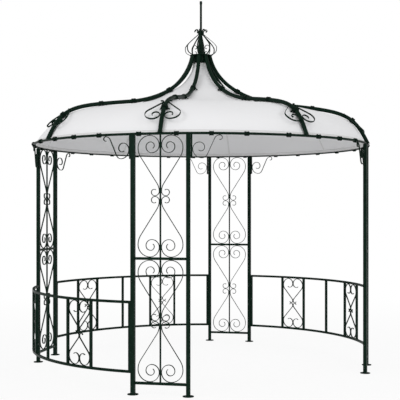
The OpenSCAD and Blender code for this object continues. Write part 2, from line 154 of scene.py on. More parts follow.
class ScrollSizes(PropertyGroup):
    """Scrolls bent from flat bar"""

    thickness: length("Thickness", 0.005, "Thickness of the flat bar")
    depth: length("Depth", 0.012, "Depth of the flat bar")
    corner: length("Corner", 0.0011, "Radius of the edges of the flat bar")
    weld_gap: length("Weld gap", 0.0003, "Gap between two pieces at a weld")
    head_space: length("Head space", 0.022, "Free space between the scroll heads and the posts")
    curl_radius: length("Curl radius", 0.034, "Radius of the small curls of the frames")
    bracket_height: length("Bracket height", 0.178, "Height of the corner brackets")
    bracket_bar: length("Bracket bar", 0.014, "Width of the upright of a bracket")
    bracket_reach: length("Bracket reach", 0.236, "How far a bracket reaches from its post")
    bracket_head: length("Bracket scroll", 0.068, "Radius of the scroll at a bracket's foot")
    bracket_bend: length("Bracket bend", 0.045, "Radius of the two bends of a bracket")
    bracket_hook: length("Bracket hook", 0.018, "Radius of the hook at a bracket's top")
    bracket_lean: angle("Bracket lean", 65.6, "Slope of the straight part of a bracket")
    wing_width: length("Wing width", 0.119, "Width of one scroll on a rib's shoulder")
    wing_length: length("Wing length", 0.234, "Length of the same scroll")
    wing_inset: length("Wing inset", 0.211, "Distance of its upper end from the posts' circle")
    wing_lift: length("Wing lift", 0.012, "Height of the same end above the rib's middle")
    wing_slope: angle("Wing slope", 41.8, "Slope of the shoulder scrolls")


class RoofSizes(PropertyGroup):
    """Eaves ring, ribs, crown and finial"""

    ring_tube: length("Ring tube", RING_TUBE, "Diameter of the tube of the eaves ring")
    rib_tube: length("Rib tube", 0.034, "Diameter of the tube of the ribs")
    waist_radius: length("Waist radius", 0.730, "Radius of the roof at its waist")
    waist_height: length("Waist height", 0.378, "Height of the waist above the posts")
    waist_slope: angle("Waist slope", 7.5, "Slope of the ribs at the waist")
    plate_radius: length("Plate radius", high("crown_plate").x, "Radius of the crown plate")
    plate_top: length("Plate top", high("crown_plate").z, "Height of the top of the crown plate")
    plate_thickness: length("Plate thickness", 0.006, "Thickness of the crown plate")
    drum_low: length("Drum foot", low("crown_plate").z, "Height of the foot of the crown drum")
    belly_radius: length("Belly radius", 0.146, "Widest radius of the onion crown")
    belly_height: length("Belly height", 0.067, "Height of the widest place of the crown")
    neck_radius: length("Neck radius", 0.030, "Radius of the neck of the onion crown")
    neck_height: length("Neck height", 0.186, "Height of the neck above the crown plate")
    neck_bend: length("Neck bend", 0.018, "Radius of the bend in the neck of the crown")
    neck_heading: angle("Neck heading", 138.0, "Direction of the crown's bars at the neck")
    inner_scroll: length("Inner scroll", 0.085, "Widest radius of the scrolls in the crown")
    finial_top: length("Finial top", high("finial").z, "Height of the tip of the finial")
    finial_rod: length("Finial rod", 0.010, "Radius of the rod of the finial")
    facets: IntProperty(name="Facets", description="Sides of the tubes", default=20, min=8)


class CoverSizes(PropertyGroup):
    """Fabric cover and the straps that tie it"""

    thickness: length("Cloth", 0.0011, "Thickness of the cover")
    crown_slack: length("Crown slack", 0.018, "How far the cover hangs clear near the crown")
    gore_flat: share("Gore flatness", 0.9, "How straight the cover runs between two ribs")
    eaves_flat: share("Eaves flatness", 0.0, "The same at the eaves ring")
    sag: length("Sag", 0.0045, "How far the cover hangs from a rib between two straps")
    pucker: length("Pucker", 0.0032, "Depth of the folds that run from the straps")
    drift: length("Drift", 0.0035, "Depth of the broad waves of the cover")
    columns: IntProperty(name="Columns", description="Columns of each gore", default=30, min=6)
    rows: IntProperty(name="Rows", description="Rows of the cover", default=96, min=12)
    hem: length("Hem", 0.028, "Width of the hem at the eaves")
    seam: length("Seam", 0.007, "Half of the width of the seam under each rib")
    webbing: length("Webbing", 0.0040, "Thickness of the straps")
    ring_strap: length("Ring strap", 0.034, "Width of the straps on the ring")
    rib_strap: length("Rib strap", 0.032, "Width of the straps on the ribs")
    strap_tail: length("Strap tail", 0.012, "Length of the loose ends of the straps")


class Finishes(PropertyGroup):
    """Colours and surfaces"""

    coat: colour("Coat", (0.0038, 0.0142, 0.0084), "Green powder coat")
    coat_worn: colour("Worn coat", (0.009, 0.028, 0.018), "The coat where edges are rubbed")
    dust: colour("Dust", (0.16, 0.17, 0.15), "Dust on the faces that look up")
    webbing: colour("Webbing", (0.0022, 0.0092, 0.0055), "Green webbing of the straps")
    cloth: colour("Cloth", (0.80, 0.80, 0.80), "Off-white polyester of the cover")
    thread: colour("Thread", (0.66, 0.66, 0.66), "Sewing thread of the cover")
    coat_gloss: share("Coat roughness", 0.36, "Mean roughness of the powder coat")
    peel: share("Orange peel", 0.16, "Strength of the texture of the powder coat")
    weave: share("Weave", 0.35, "Strength of the weave of the cloth")
    glow: share("Glow", 0.30, "Share of the light that passes through the cover")


# ---- Bending and sweeping ----------------------------------------------------
# A pen is (x, z, heading). A move is (radius, turn): an arc that turns left for
# a positive angle, or a straight (length, 0).


def moved(pen, size, turn):
    """The pen after one move."""
    x, z, heading = pen
    start = math.radians(heading)
    end = math.radians(heading + turn)
    if turn == 0:
        return x + size * math.cos(start), z + size * math.sin(start), heading
    side = math.copysign(size, turn)
    return (
        x + side * (math.sin(end) - math.sin(start)),
        z + side * (math.cos(start) - math.cos(end)),
        heading + turn,
    )


def course(pen, moves):
    """The pens along a list of moves, a few degrees apart."""
    pens = [pen]
    for size, turn in moves:
        steps = max(1, math.ceil(abs(turn) / FINE))
        start = pens[-1]
        pens += [moved(start, size if turn else size * k / steps, turn * k / steps)
                 for k in range(1, steps + 1)]
    return pens


def backwards(pens):
    """The same course from its other end."""
    return [(x, z, heading + 180) for x, z, heading in reversed(pens)]


def both_ways(x, z, heading, moves, other_moves):
    """A bar that leaves one point along `moves`, and the opposite way along `other_moves`."""
    first = course((x, z, heading), moves)
    second = course((x, z, heading + 180), other_moves)
    return backwards(first)[:-1] + second


def winding(radius, rate, quarters, last):
    """Quarter turns of a spiral that winds inwards."""
    moves = [(radius * rate**k, -90) for k in range(quarters)]
    return moves + [(radius * rate**quarters, -last)]


def cubic(a, b, c, d, t):
    """Point on a cubic curve from a to d."""
    s = 1 - t
    return s**3 * a + 3 * s * s * t * b + 3 * s * t * t * c + t**3 * d


def cubic_course(a, b, c, d, steps):
    """The pens along a cubic curve."""
    pens = []
    for k in range(steps + 1):
        t = k / steps
        ahead = cubic(a, b, c, d, min(1, t + 0.01)) - cubic(a, b, c, d, max(0, t - 0.01))
        spot = cubic(a, b, c, d, t)
        pens.append((spot.x, spot.y, math.degrees(math.atan2(ahead.y, ahead.x))))
    return pens


def s_scroll(side, head, bend, tail, back, curl):
    """An S-scroll of one bar. Its head, (radius, rate, quarters, last), winds inwards from
    the point `side`; the bar bends, runs straight, bends back, touches the point `tail`
    and ends in the small curl, (radius, quarters, last)."""
    reach = bend + back
    gap = Vector((tail[0] - back - side[0] - bend, tail[1] - side[1]))
    lean = math.degrees(math.asin(reach / gap.length) + math.atan2(gap.x, -gap.y))
    run = math.sqrt(gap.length**2 - reach**2)
    body = [(bend, lean), (run, 0), (back, -lean)] + winding(curl[0], 0.8, curl[1], curl[2])
    return both_ways(side[0], side[1], 90, winding(*head), body)


def section_place(pen):
    """Matrix that sets a section, drawn in XY, across the bar at a pen."""
    x, z, heading = pen
    cos = math.cos(math.radians(heading))
    sin = math.sin(math.radians(heading))
    return Matrix(((-sin, 0, cos, x), (0, -1, 0, 0), (cos, 0, sin, z), (0, 0, 0, 1)))


def flat_section(bm, width, depth, corner, segments=2):
    """Rounded rectangle in XY: `width` along X and `depth` along Y."""
    bmesh.ops.create_grid(bm, x_segments=1, y_segments=1, size=0.5)
    bmesh.ops.scale(bm, vec=(width, depth, 1), verts=bm.verts)
    bmesh.ops.bevel(
        bm, geom=bm.verts[:], offset=corner, segments=segments, profile=0.5,
        affect="VERTICES", material=-1
    )


def round_section(bm, radius, sides):
    """Filled circle in XY."""
    bmesh.ops.create_circle(bm, cap_ends=True, segments=sides, radius=radius)


def sweep(bm, frames):
    """Sweeps the face that is in bm from the first frame to the last and closes the end."""
    bmesh.ops.transform(bm, matrix=frames[0], verts=bm.verts)
    edges = bm.edges[:]
    for before, after in zip(frames, frames[1:]):
        made = bmesh.ops.extrude_edge_only(bm, edges=edges)["geom"]
        edges = [g for g in made if isinstance(g, BMEdge)]
        verts = [g for g in made if isinstance(g, BMVert)]
        bmesh.ops.transform(bm, matrix=after @ before.inverted(), verts=verts)
    bmesh.ops.contextual_create(bm, geom=edges)


def nosed(pens, nose, pinch=0.55):
    """Frames along the pens, with a rounded nose of length `nose` at both ends."""
    small = Matrix.Diagonal((pinch, 1 - (1 - pinch) * 0.5, 1, 1))
    frames = [section_place(p) for p in pens]
    first = frames[0] @ Matrix.Translation((0, 0, nose)) if len(frames) > 1 else frames[0]
    last = frames[-1] @ Matrix.Translation((0, 0, -nose))
    return [frames[0] @ small, first, *frames[1:-1], last, frames[-1] @ small]


def mesh_of(bm, name="part"):
    """A mesh with what is in bm, which is freed."""
    mesh = bpy.data.meshes.new(name)
    bm.to_mesh(mesh)
    bm.free()
    return mesh


def bent_bar(pens, sizes):
    """Mesh of a flat bar with rounded edges that follows the pens."""
    bm = bmesh.new()
    flat_section(bm, sizes.thickness, sizes.depth, sizes.corner)
    sweep(bm, nosed(pens, sizes.corner))
    return mesh_of(bm)


def tube_box(size, centre, corner, turn=0.0):
    """Mesh of a square tube or bar: a block whose long edges are rounded."""
    bm = bmesh.new()
    bmesh.ops.create_cube(bm, size=1)
    longest = max(range(3), key=lambda i: size[i])
    bmesh.ops.scale(bm, vec=size, verts=bm.verts)
    edges = [e for e in bm.edges
             if abs(e.verts[0].co[longest] - e.verts[1].co[longest]) > size[longest] / 2]
    bmesh.ops.bevel(
        bm, geom=edges, offset=corner, segments=3, profile=0.5, affect="EDGES", material=-1
    )
    matrix = Matrix.Rotation(math.radians(turn), 4, "Z")
    bmesh.ops.transform(bm, matrix=Matrix.Translation(centre) @ matrix, verts=bm.verts)
    return mesh_of(bm)


def turned(profile, steps=48):
    """Mesh of a profile of [radius, height] points spun about the Z axis."""
    bm = bmesh.new()
    verts = [bm.verts.new((r, 0, z)) for r, z in profile]
    edges = [bm.edges.new(pair) for pair in zip(verts, verts[1:])]
    bmesh.ops.spin(
        bm, geom=verts + edges, cent=(0, 0, 0), axis=(0, 0, 1), angle=math.tau, steps=steps,
        use_merge=True
    )
    bmesh.ops.remove_doubles(bm, verts=bm.verts, dist=1e-6)
    return mesh_of(bm)


def bead(radius, stretch=(1, 1, 1)):
    """Mesh of a weld bead: a small flattened ball of a few faces."""
    bm = bmesh.new()
    bmesh.ops.create_uvsphere(bm, u_segments=7, v_segments=5, radius=radius)
    bmesh.ops.scale(bm, vec=stretch, verts=bm.verts)
    return mesh_of(bm)


def bar_bead(sizes, scroll, wide, tall):
    """Weld bead across a flat bar, `wide` by `tall` times its usual radius."""
    across = scroll.depth / sizes.weld_bead / 2.1
    return bead(sizes.weld_bead, (wide, across, tall))


def at(x, z, y=0.0):
    """Matrix that moves a part to a place on the front."""
    return Matrix.Translation((x, y, z))


def at_azimuth(azimuth, radius=0.0):
    """Matrix that turns a part, drawn on the front, to an azimuth and moves it out."""
    return Matrix.Rotation(math.radians(azimuth), 4, "Z") @ Matrix.Translation((0, -radius, 0))


def four_ways(parts, height):
    """The parts, repeated in all four quarters about the point (0, height)."""
    flips = [Matrix.Diagonal((left, 1, low, 1)) for left in (1, -1) for low in (1, -1)]
    return [
        (mesh, at(0, height) @ flip @ at(0, -height) @ place)
        for flip in flips for mesh, place in parts
    ]


def joined(parts, matrix=None):
    """One bmesh of all (mesh, matrix) parts."""
    bm = bmesh.new()
    for mesh, place in parts:
        copy = mesh.copy()
        copy.transform(matrix @ place if matrix else place)
        bm.from_mesh(copy)
        bpy.data.meshes.remove(copy)
    return bm


def piece(name, bm, material, nodes, smooth=40.0, weighted=True):
    """A finished piece that rides on the frame and stands for these nodes."""
    bmesh.ops.recalc_face_normals(bm, faces=bm.faces)
    mesh = mesh_of(bm, name)
    mesh.materials.append(material)
    mesh.shade_smooth()
    mesh.set_sharp_from_angle(angle=math.radians(smooth))
    made = bpy.data.objects.new(name, mesh)
    bpy.context.scene.collection.objects.link(made)
    if weighted:
        made.modifiers.new("Flat faces stay flat", "WEIGHTED_NORMAL").keep_sharp = True
    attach(made, "root")
    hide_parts(*nodes)
    return made


# ---- Finishes ----------------------------------------------------------------


class Recipe:
    """A material or world that is put together node by node."""

    def __init__(self, name, kind=bpy.data.materials, output="ShaderNodeOutputMaterial"):
        self.made = kind.new(name)
        self.made.use_nodes = True
        self.tree = self.made.node_tree
        self.tree.nodes.clear()
        self.output = output

    def add(self, kind, inputs=None, **settings):
        """A node with its settings; an input is a value, or the output that feeds it."""
        made = self.tree.nodes.new(kind)
        for key, value in settings.items():
            setattr(made, key, value)
        for key, value in (inputs or {}).items():
            if isinstance(value, bpy.types.NodeSocket):
                self.tree.links.new(value, made.inputs[key])
            else:
                made.inputs[key].default_value = value
        return made

    def noise(self, vector, scale, detail=2.0):
        """Noise between 0 and 1."""
        return self.add(
            "ShaderNodeTexNoise", {"Vector": vector, "Scale": scale, "Detail": detail}
        ).outputs["Fac"]

    def maths(self, operation, first, second=0.0, clamp=False):
        """One sum, product or other operation."""
        return self.add(
            "ShaderNodeMath", {0: first, 1: second}, operation=operation, use_clamp=clamp
        ).outputs[0]

    def spread(self, value, low_in, high_in, low_out, high_out):
        """The value moved from one range to another."""
        return self.add("ShaderNodeMapRange", {
            "Value": value, "From Min": low_in, "From Max": high_in,
            "To Min": low_out, "To Max": high_out
        }).outputs["Result"]

    def mix(self, factor, first, second, blend="MIX"):
        """Two colours mixed."""
        made = self.add("ShaderNodeMix", data_type="RGBA", blend_type=blend)
        for socket, value in zip((made.inputs[0], made.inputs[6], made.inputs[7]),
                                 (factor, first, second)):
            if isinstance(value, bpy.types.NodeSocket):
                self.tree.links.new(value, socket)
            else:
                socket.default_value = value
        return made.outputs[2]

    def finish(self, shader):
        """Sets the surface and returns the material or world."""
        self.add(self.output, {"Surface": shader})
        return self.made


def rgba(value, by=1.0):
    """A colour with its alpha, lighter or darker."""
    return (value[0] * by, value[1] * by, value[2] * by, 1.0)


def powder_coat(name, look):
    """Satin green powder coat: tone that drifts, orange peel, rubbed edges and dust."""
    recipe = Recipe(name)
    spot = recipe.add("ShaderNodeTexCoord").outputs["Object"]
    surface = recipe.add("ShaderNodeNewGeometry")
    drift = recipe.noise(spot, 2.6, 3.0)
    grain = recipe.noise(spot, 520.0, 1.0)
    tone = recipe.mix(drift, rgba(look.coat, 0.82), rgba(look.coat, 1.20))
    tone = recipe.mix(recipe.spread(grain, 0.3, 0.7, 0.0, 0.10), tone, rgba(look.coat, 1.6))
    rubbed = recipe.spread(surface.outputs["Pointiness"], 0.52, 0.60, 0.0, 0.55)
    patchy = recipe.spread(recipe.noise(spot, 45.0, 4.0), 0.42, 0.66, 0.0, 1.0)
    tone = recipe.mix(recipe.maths("MULTIPLY", rubbed, patchy), tone, rgba(look.coat_worn))
    up = recipe.add("ShaderNodeSeparateXYZ", {0: surface.outputs["Normal"]}).outputs["Z"]
    up = recipe.maths("POWER", recipe.maths("MAXIMUM", up, 0.0), 3.0)
    settled = recipe.spread(recipe.noise(spot, 17.0, 5.0), 0.35, 0.75, 0.005, 0.035)
    tone = recipe.mix(recipe.maths("MULTIPLY", up, settled), tone, rgba(look.dust))
    rough = recipe.spread(drift, 0.25, 0.75, look.coat_gloss - 0.05, look.coat_gloss + 0.07)
    rough = recipe.maths("ADD", rough, recipe.maths("MULTIPLY", up, 0.45), clamp=True)
    bump = recipe.add("ShaderNodeBump", {
        "Height": recipe.noise(spot, 310.0, 2.0), "Strength": look.peel, "Distance": 0.0008
    })
    shader = recipe.add("ShaderNodeBsdfPrincipled", {
        "Base Color": tone, "Roughness": rough, "Specular IOR Level": 0.05,
        "Coat Weight": 0.01, "Coat Roughness": 0.22, "Normal": bump.outputs[0]
    })
    return recipe.finish(shader.outputs[0])


def strap_webbing(name, look):
    """Tightly woven webbing. Its UV map runs along and across the strap, in metres."""
    recipe = Recipe(name)
    along = recipe.add("ShaderNodeTexCoord").outputs["UV"]
    warp = recipe.add("ShaderNodeTexWave", {
        "Vector": along, "Scale": 95.0, "Distortion": 0.4
    }, bands_direction="X").outputs["Fac"]
    weft = recipe.add("ShaderNodeTexWave", {
        "Vector": along, "Scale": 160.0, "Distortion": 0.4
    }, bands_direction="Y").outputs["Fac"]
    weave = recipe.maths("MULTIPLY", warp, weft)
    fuzz = recipe.noise(along, 900.0, 2.0)
    tone = recipe.mix(weave, rgba(look.webbing, 0.7), rgba(look.webbing, 1.5))
    tone = recipe.mix(recipe.spread(fuzz, 0.35, 0.7, 0.0, 0.25), tone, rgba(look.webbing, 2.4))
    bump = recipe.add("ShaderNodeBump", {
        "Height": recipe.maths("ADD", weave, recipe.maths("MULTIPLY", fuzz, 0.4)),
        "Strength": 0.5, "Distance": 0.0007
    })
    rough = recipe.spread(fuzz, 0.3, 0.7, 0.72, 0.9)
    shader = recipe.add("ShaderNodeBsdfPrincipled", {
        "Base Color": tone, "Roughness": rough, "Specular IOR Level": 0.08,
        "Sheen Weight": 0.02, "Sheen Roughness": 0.5, "Normal": bump.outputs[0]
    })
    return recipe.finish(shader.outputs[0])


STITCH_ROWS = 0.0065  # how far from the middle of a band its stitches are drawn


def cover_cloth(name, look, stitched=False):
    """Plain-woven polyester that lets some light through. Its UV map is in metres; on the
    bands it runs along and across the band, whose two rows of stitches are drawn."""
    recipe = Recipe(name)
    coordinates = recipe.add("ShaderNodeTexCoord")
    flat = coordinates.outputs["UV"]
    warp = recipe.add("ShaderNodeTexWave", {
        "Vector": flat, "Scale": 320.0, "Distortion": 0.6, "Detail": 1.0
    }, bands_direction="X").outputs["Fac"]
    weft = recipe.add("ShaderNodeTexWave", {
        "Vector": flat, "Scale": 320.0, "Distortion": 0.6, "Detail": 1.0
    }, bands_direction="Y").outputs["Fac"]
    weave = recipe.maths("MULTIPLY", warp, weft)
    slub = recipe.noise(recipe.add("ShaderNodeMapping", {
        "Vector": flat, "Scale": (6.0, 260.0, 1.0)
    }).outputs[0], 1.0, 3.0)
    cloud = recipe.noise(coordinates.outputs["Object"], 1.7, 4.0)
    tone = recipe.mix(recipe.spread(cloud, 0.3, 0.7, 0.0, 1.0), rgba(look.cloth, 0.955),
                      rgba(look.cloth, 1.0))
    tone = recipe.mix(recipe.spread(slub, 0.4, 0.75, 0.0, 0.10), tone, rgba(look.cloth, 0.86))
    tone = recipe.mix(recipe.spread(weave, 0.0, 1.0, 0.05, 0.0), tone, rgba(look.cloth, 0.80))
    height = recipe.maths("ADD", weave, recipe.maths("MULTIPLY", slub, 0.7))
    if stitched:
        parts = recipe.add("ShaderNodeSeparateXYZ", {0: flat})
        row = recipe.maths("PINGPONG", recipe.maths("ADD", parts.outputs["Y"], 0.5), 0.5)
        off = recipe.maths("ABSOLUTE", recipe.maths("SUBTRACT", row, 0.5 - STITCH_ROWS))
        row = recipe.spread(off, 0.0007, 0.0012, 1.0, 0.0)
        dash = recipe.maths("PINGPONG", parts.outputs["X"], 0.0022)
        stitch = recipe.maths("MULTIPLY", row, recipe.spread(dash, 0.0004, 0.0007, 0.0, 1.0))
        tone = recipe.mix(stitch, tone, rgba(look.thread))
        height = recipe.maths("ADD", height, recipe.maths("MULTIPLY", stitch, 4.0))
    bump = recipe.add("ShaderNodeBump", {
        "Height": height, "Strength": look.weave, "Distance": 0.0006
    })
    rough = recipe.spread(slub, 0.3, 0.7, 0.62, 0.78)
    shader = recipe.add("ShaderNodeBsdfPrincipled", {
        "Base Color": tone, "Roughness": rough, "Specular IOR Level": 0.3,
        "Sheen Weight": 0.12, "Sheen Roughness": 0.4, "Normal": bump.outputs[0]
    })
    glow = recipe.add("ShaderNodeBsdfTranslucent", {"Color": tone, "Normal": bump.outputs[0]})
    both = recipe.add("ShaderNodeMixShader", {
        0: 0.0 if stitched else look.glow, 1: shader.outputs[0], 2: glow.outputs[0]
    })
    return recipe.finish(both.outputs[0])


def finish_of(name, maker, *settings):
    """The material of that name, made once."""
    look = bpy.context.scene.gazebo_finishes
    return bpy.data.materials.get(name) or maker(name, look, *settings)


def metal(name, parts, node, place=None, smooth=40.0):
    """A powder-coated piece of (mesh, matrix) parts that stands for a node of the frame."""
    coat = finish_of("green_powder_coat", powder_coat)
    return piece(name, joined(parts, place), coat, [node], smooth)


# ---- Feet and posts ----------------------------------------------------------


def half_frame(sizes):
    """Angle from the middle of a frame to its posts."""
    return math.degrees(math.asin(sizes.frame_width / 2 / sizes.radius))


def panel_plane(sizes):
    """Distance of a frame's flat panel from the middle of the gazebo."""
    return sizes.radius * math.cos(math.radians(half_frame(sizes)))


def foot_plate(sizes):
    """Round plate with four anchor holes and a rounded rim, drawn at the origin."""
    bm = bmesh.new()
    bmesh.ops.create_circle(bm, cap_ends=False, segments=48, radius=sizes.foot_radius)
    for turn in range(0, 360, 90):
        hole = Matrix.Rotation(math.radians(turn), 4, "Z") @ at(sizes.anchor_circle, 0)
        bmesh.ops.create_circle(
            bm, cap_ends=False, segments=20, radius=sizes.anchor_radius, matrix=hole
        )
    bmesh.ops.triangle_fill(bm, use_beauty=True, use_dissolve=False, edges=bm.edges[:])
    top = bmesh.ops.extrude_face_region(bm, geom=bm.faces[:], use_keep_orig=True)["geom"]
    verts = [g for g in top if isinstance(g, BMVert)]
    bmesh.ops.translate(bm, vec=(0, 0, sizes.foot_top), verts=verts)
    bmesh.ops.recalc_face_normals(bm, faces=bm.faces)
    rims = [e for e in bm.edges
            if abs(e.calc_face_angle(0) - math.pi / 2) < 0.3 and e.verts[0].co.z > 0.001]
    bmesh.ops.bevel(
        bm, geom=rims, offset=0.0008, segments=2, profile=0.5, affect="EDGES", material=-1
    )
    return mesh_of(bm)


def weld_collar(width, height, radius):
    """Weld bead that runs round the foot of a square tube."""
    bm = bmesh.new()
    round_section(bm, radius, 8)
    side = (width - 2 * radius, 0)
    pens = course((-width / 2 + radius, -width / 2, 0), [side, (radius, 90)] * 4)
    frames = [section_place(p) for p in pens]
    sweep(bm, frames)
    flat = Matrix.Rotation(math.radians(-90), 4, "X")
    bmesh.ops.transform(bm, matrix=Matrix.Translation((0, 0, height)) @ flat, verts=bm.verts)
    return mesh_of(bm)


class GAZEBO_OT_feet(Operator):
    """Round foot plates with anchor holes, welded under the posts"""

    bl_idname = "gazebo.feet"
    bl_label = "Feet"

    def execute(self, context):
        sizes = context.scene.gazebo_frame
        parts = []
        plate = foot_plate(sizes)
        collar = weld_collar(sizes.post, sizes.foot_top, sizes.weld_bead)
        for side in range(len(SIDES)):
            for end in (-1, 1):
                place = at_azimuth(side * BAY + end * half_frame(sizes), sizes.radius)
                parts += [(plate, place), (collar, place)]
        metal("foot_plates_welded", parts, "foot_plates")
        return {"FINISHED"}


def post_tube(sizes):
    """Square tube with rounded corners and a closed, slightly sunken top."""
    bm = bmesh.new()
    tall = sizes.post_top - sizes.foot_top
    mesh = tube_box((sizes.post, sizes.post, tall),
                    (0, 0, sizes.foot_top + tall / 2), sizes.tube_corner)
    bm.from_mesh(mesh)
    ends = [f for f in bm.faces if abs(f.normal.z) > 0.9 and f.calc_center_median().z > tall / 2]
    bmesh.ops.inset_region(bm, faces=ends, thickness=0.0018, depth=0)
    bmesh.ops.inset_region(bm, faces=ends, thickness=0.0004, depth=-0.0008)
    return mesh_of(bm)


class GAZEBO_OT_posts(Operator):
    """Eight square posts, two to a frame"""

    bl_idname = "gazebo.posts"
    bl_label = "Posts"

    def execute(self, context):
        sizes = context.scene.gazebo_frame
        tube = post_tube(sizes)
        for side, name in enumerate(SIDES):
            for end in (-1, 1):
                node = f"post_{name}_{SIDES[(side + end) % len(SIDES)]}"
                place = at_azimuth(side * BAY + end * half_frame(sizes), sizes.radius)
                metal(f"{node}_tube", [(tube, place)], node)
        return {"FINISHED"}


# ---- Lattice frames ----------------------------------------------------------


def lattice_cell(sizes, scroll, floor, ceiling):
    """Four S-scrolls between two cross bars, with their weld beads."""
    middle = (floor + ceiling) / 2
    inner = (sizes.centre_bar + scroll.thickness) / 2 + scroll.weld_gap
    outer = (sizes.frame_width - sizes.post) / 2 - scroll.head_space - scroll.thickness / 2
    rate = 0.79
    head = (outer - inner) / (1 + rate)
    top = ceiling - scroll.thickness / 2 - scroll.weld_gap
    seam = (scroll.thickness + scroll.weld_gap) / 2
    curl = scroll.curl_radius
    pens = s_scroll(
        side=(-outer, top - head), head=(head, rate, 6, 60), bend=0.130,
        tail=(-inner, middle + curl + seam), back=0.110, curl=(curl, 3, 50)
    )
    drop = bar_bead(sizes, scroll, 1, 1.6)
    lying = bar_bead(sizes, scroll, 1.6, 1)
    edge = -inner + scroll.thickness / 2
    parts = [
        (bent_bar(pens, scroll), Matrix()),
        (drop, at(edge, top - head * rate)),
        (drop, at(edge, middle + curl + seam)),
        (lying, at(head - outer, top + scroll.thickness / 2)),
        (lying, at(-inner - curl, middle)),
    ]
    return four_ways(parts, middle)


def lattice_bars(sizes, roof, scroll):
    """Two cross bars between the posts and the upright in the middle."""
    sunk = 0.0015  # how far the bars run into the posts
    inside = sizes.frame_width - sizes.post + 2 * sunk
    ring = sizes.post_top + scroll.weld_gap + roof.ring_tube / 2
    offset = max(0, sizes.radius - panel_plane(sizes) - sizes.centre_bar / 2)
    top = ring - scroll.weld_gap - math.sqrt(max(0, (roof.ring_tube / 2) ** 2 - offset**2))
    bar = sizes.cross_bar
    corner = sizes.tube_corner * 0.7
    parts = [(tube_box((inside, bar, bar), (0, 0, z), corner), Matrix())
             for z in (sizes.low_cross, sizes.mid_cross)]
    upright = tube_box(
        (sizes.centre_bar, sizes.centre_bar, top - sizes.low_cross),
        (0, 0, (top + sizes.low_cross) / 2), corner * 0.6
    )
    end = bead(sizes.weld_bead, (0.8, bar / sizes.weld_bead / 2.2, 1))
    spots = [(x * inside / 2, z + y * bar / 2)
             for x in (-1, 1) for z in (sizes.low_cross, sizes.mid_cross) for y in (-1, 1)]
    return parts + [(upright, Matrix())] + [(end, at(x, z)) for x, z in spots]


class GAZEBO_OT_lattices(Operator):
    """Four flat frames of scrollwork between pairs of posts"""

    bl_idname = "gazebo.lattices"
    bl_label = "Lattice frames"

    def execute(self, context):
        scene = context.scene
        sizes, scroll = scene.gazebo_frame, scene.gazebo_scrolls
        bar = sizes.cross_bar / 2
        parts = lattice_bars(sizes, scene.gazebo_roof, scroll)
        parts += lattice_cell(sizes, scroll, sizes.low_cross + bar, sizes.mid_cross - bar)
        parts += lattice_cell(sizes, scroll, sizes.mid_cross + bar, sizes.post_top)
        for side, name in enumerate(SIDES):
            place = at_azimuth(side * BAY, panel_plane(sizes))
            metal(f"lattice_{name}_scrollwork", parts, f"lattice_{name}", place)
        return {"FINISHED"}


# ---- Railings ----------------------------------------------------------------


def along_rail(sizes, distance):
    """Angle at the middle of the gazebo for a distance along the posts' circle."""
    return math.degrees(distance / sizes.radius)


def rail_end(sizes, scroll):
    """Angle from the middle of a bay to the ends of its rails."""
    face = math.asin((sizes.post / 2 + scroll.weld_gap) / (sizes.radius - sizes.cross_bar / 2))
    return BAY / 2 - half_frame(sizes) - math.degrees(face)


def arc_tube(section, radius, height, half_turn, steps):
    """Mesh of a section spun about the gazebo's middle, to both sides of the front."""
    bm = bmesh.new()
    section(bm)
    upright = Matrix(((0, 0, 1, 0), (1, 0, 0, -radius), (0, 1, 0, height), (0, 0, 0, 1)))
    start = Matrix.Rotation(-half_turn, 4, "Z")
    bmesh.ops.transform(bm, matrix=start @ upright, verts=bm.verts)
    made = bmesh.ops.spin(
        bm, geom=bm.edges[:] + bm.verts[:], cent=(0, 0, 0), axis=(0, 0, 1),
        angle=2 * half_turn, steps=steps, use_merge=False
    )["geom_last"]
    bmesh.ops.contextual_create(bm, geom=[g for g in made if isinstance(g, BMEdge)])
    return mesh_of(bm)


def railing_scrolls(sizes, scroll):
    """Four S-scrolls of a railing panel, with their weld beads."""
    floor = sizes.low_rail + sizes.cross_bar / 2
    ceiling = sizes.top_rail - sizes.cross_bar / 2
    middle = (floor + ceiling) / 2
    turn = math.radians(along_rail(sizes, sizes.panel_width / 2))
    half = (sizes.radius * math.sin(turn) - sizes.cross_bar / 2 / math.cos(turn)
            - scroll.depth / 2 * math.tan(turn))
    seam = (scroll.thickness + scroll.weld_gap) / 2
    outer = half - scroll.weld_gap - scroll.thickness / 2
    rate = 0.77
    head = (outer - seam) / (1 + rate)
    hook = 0.020
    top = ceiling - scroll.weld_gap - scroll.thickness / 2
    pens = s_scroll(
        side=(-outer, top - head), head=(head, rate, 3, 45), bend=0.060,
        tail=(-seam, middle + hook + seam), back=0.030, curl=(hook, 1, 80)
    )
    drop = bar_bead(sizes, scroll, 1, 1.6)
    lying = bar_bead(sizes, scroll, 1.6, 1)
    parts = [
        (bent_bar(pens, scroll), Matrix()),
        (drop, at(-outer - scroll.thickness / 2, top - head)),
        (drop, at(0, top - head * rate)),
        (drop, at(0, middle + hook + seam)),
        (lying, at(head - outer, top + scroll.thickness / 2)),
        (lying, at(-seam - hook, middle)),
    ]
    return four_ways(parts, middle)


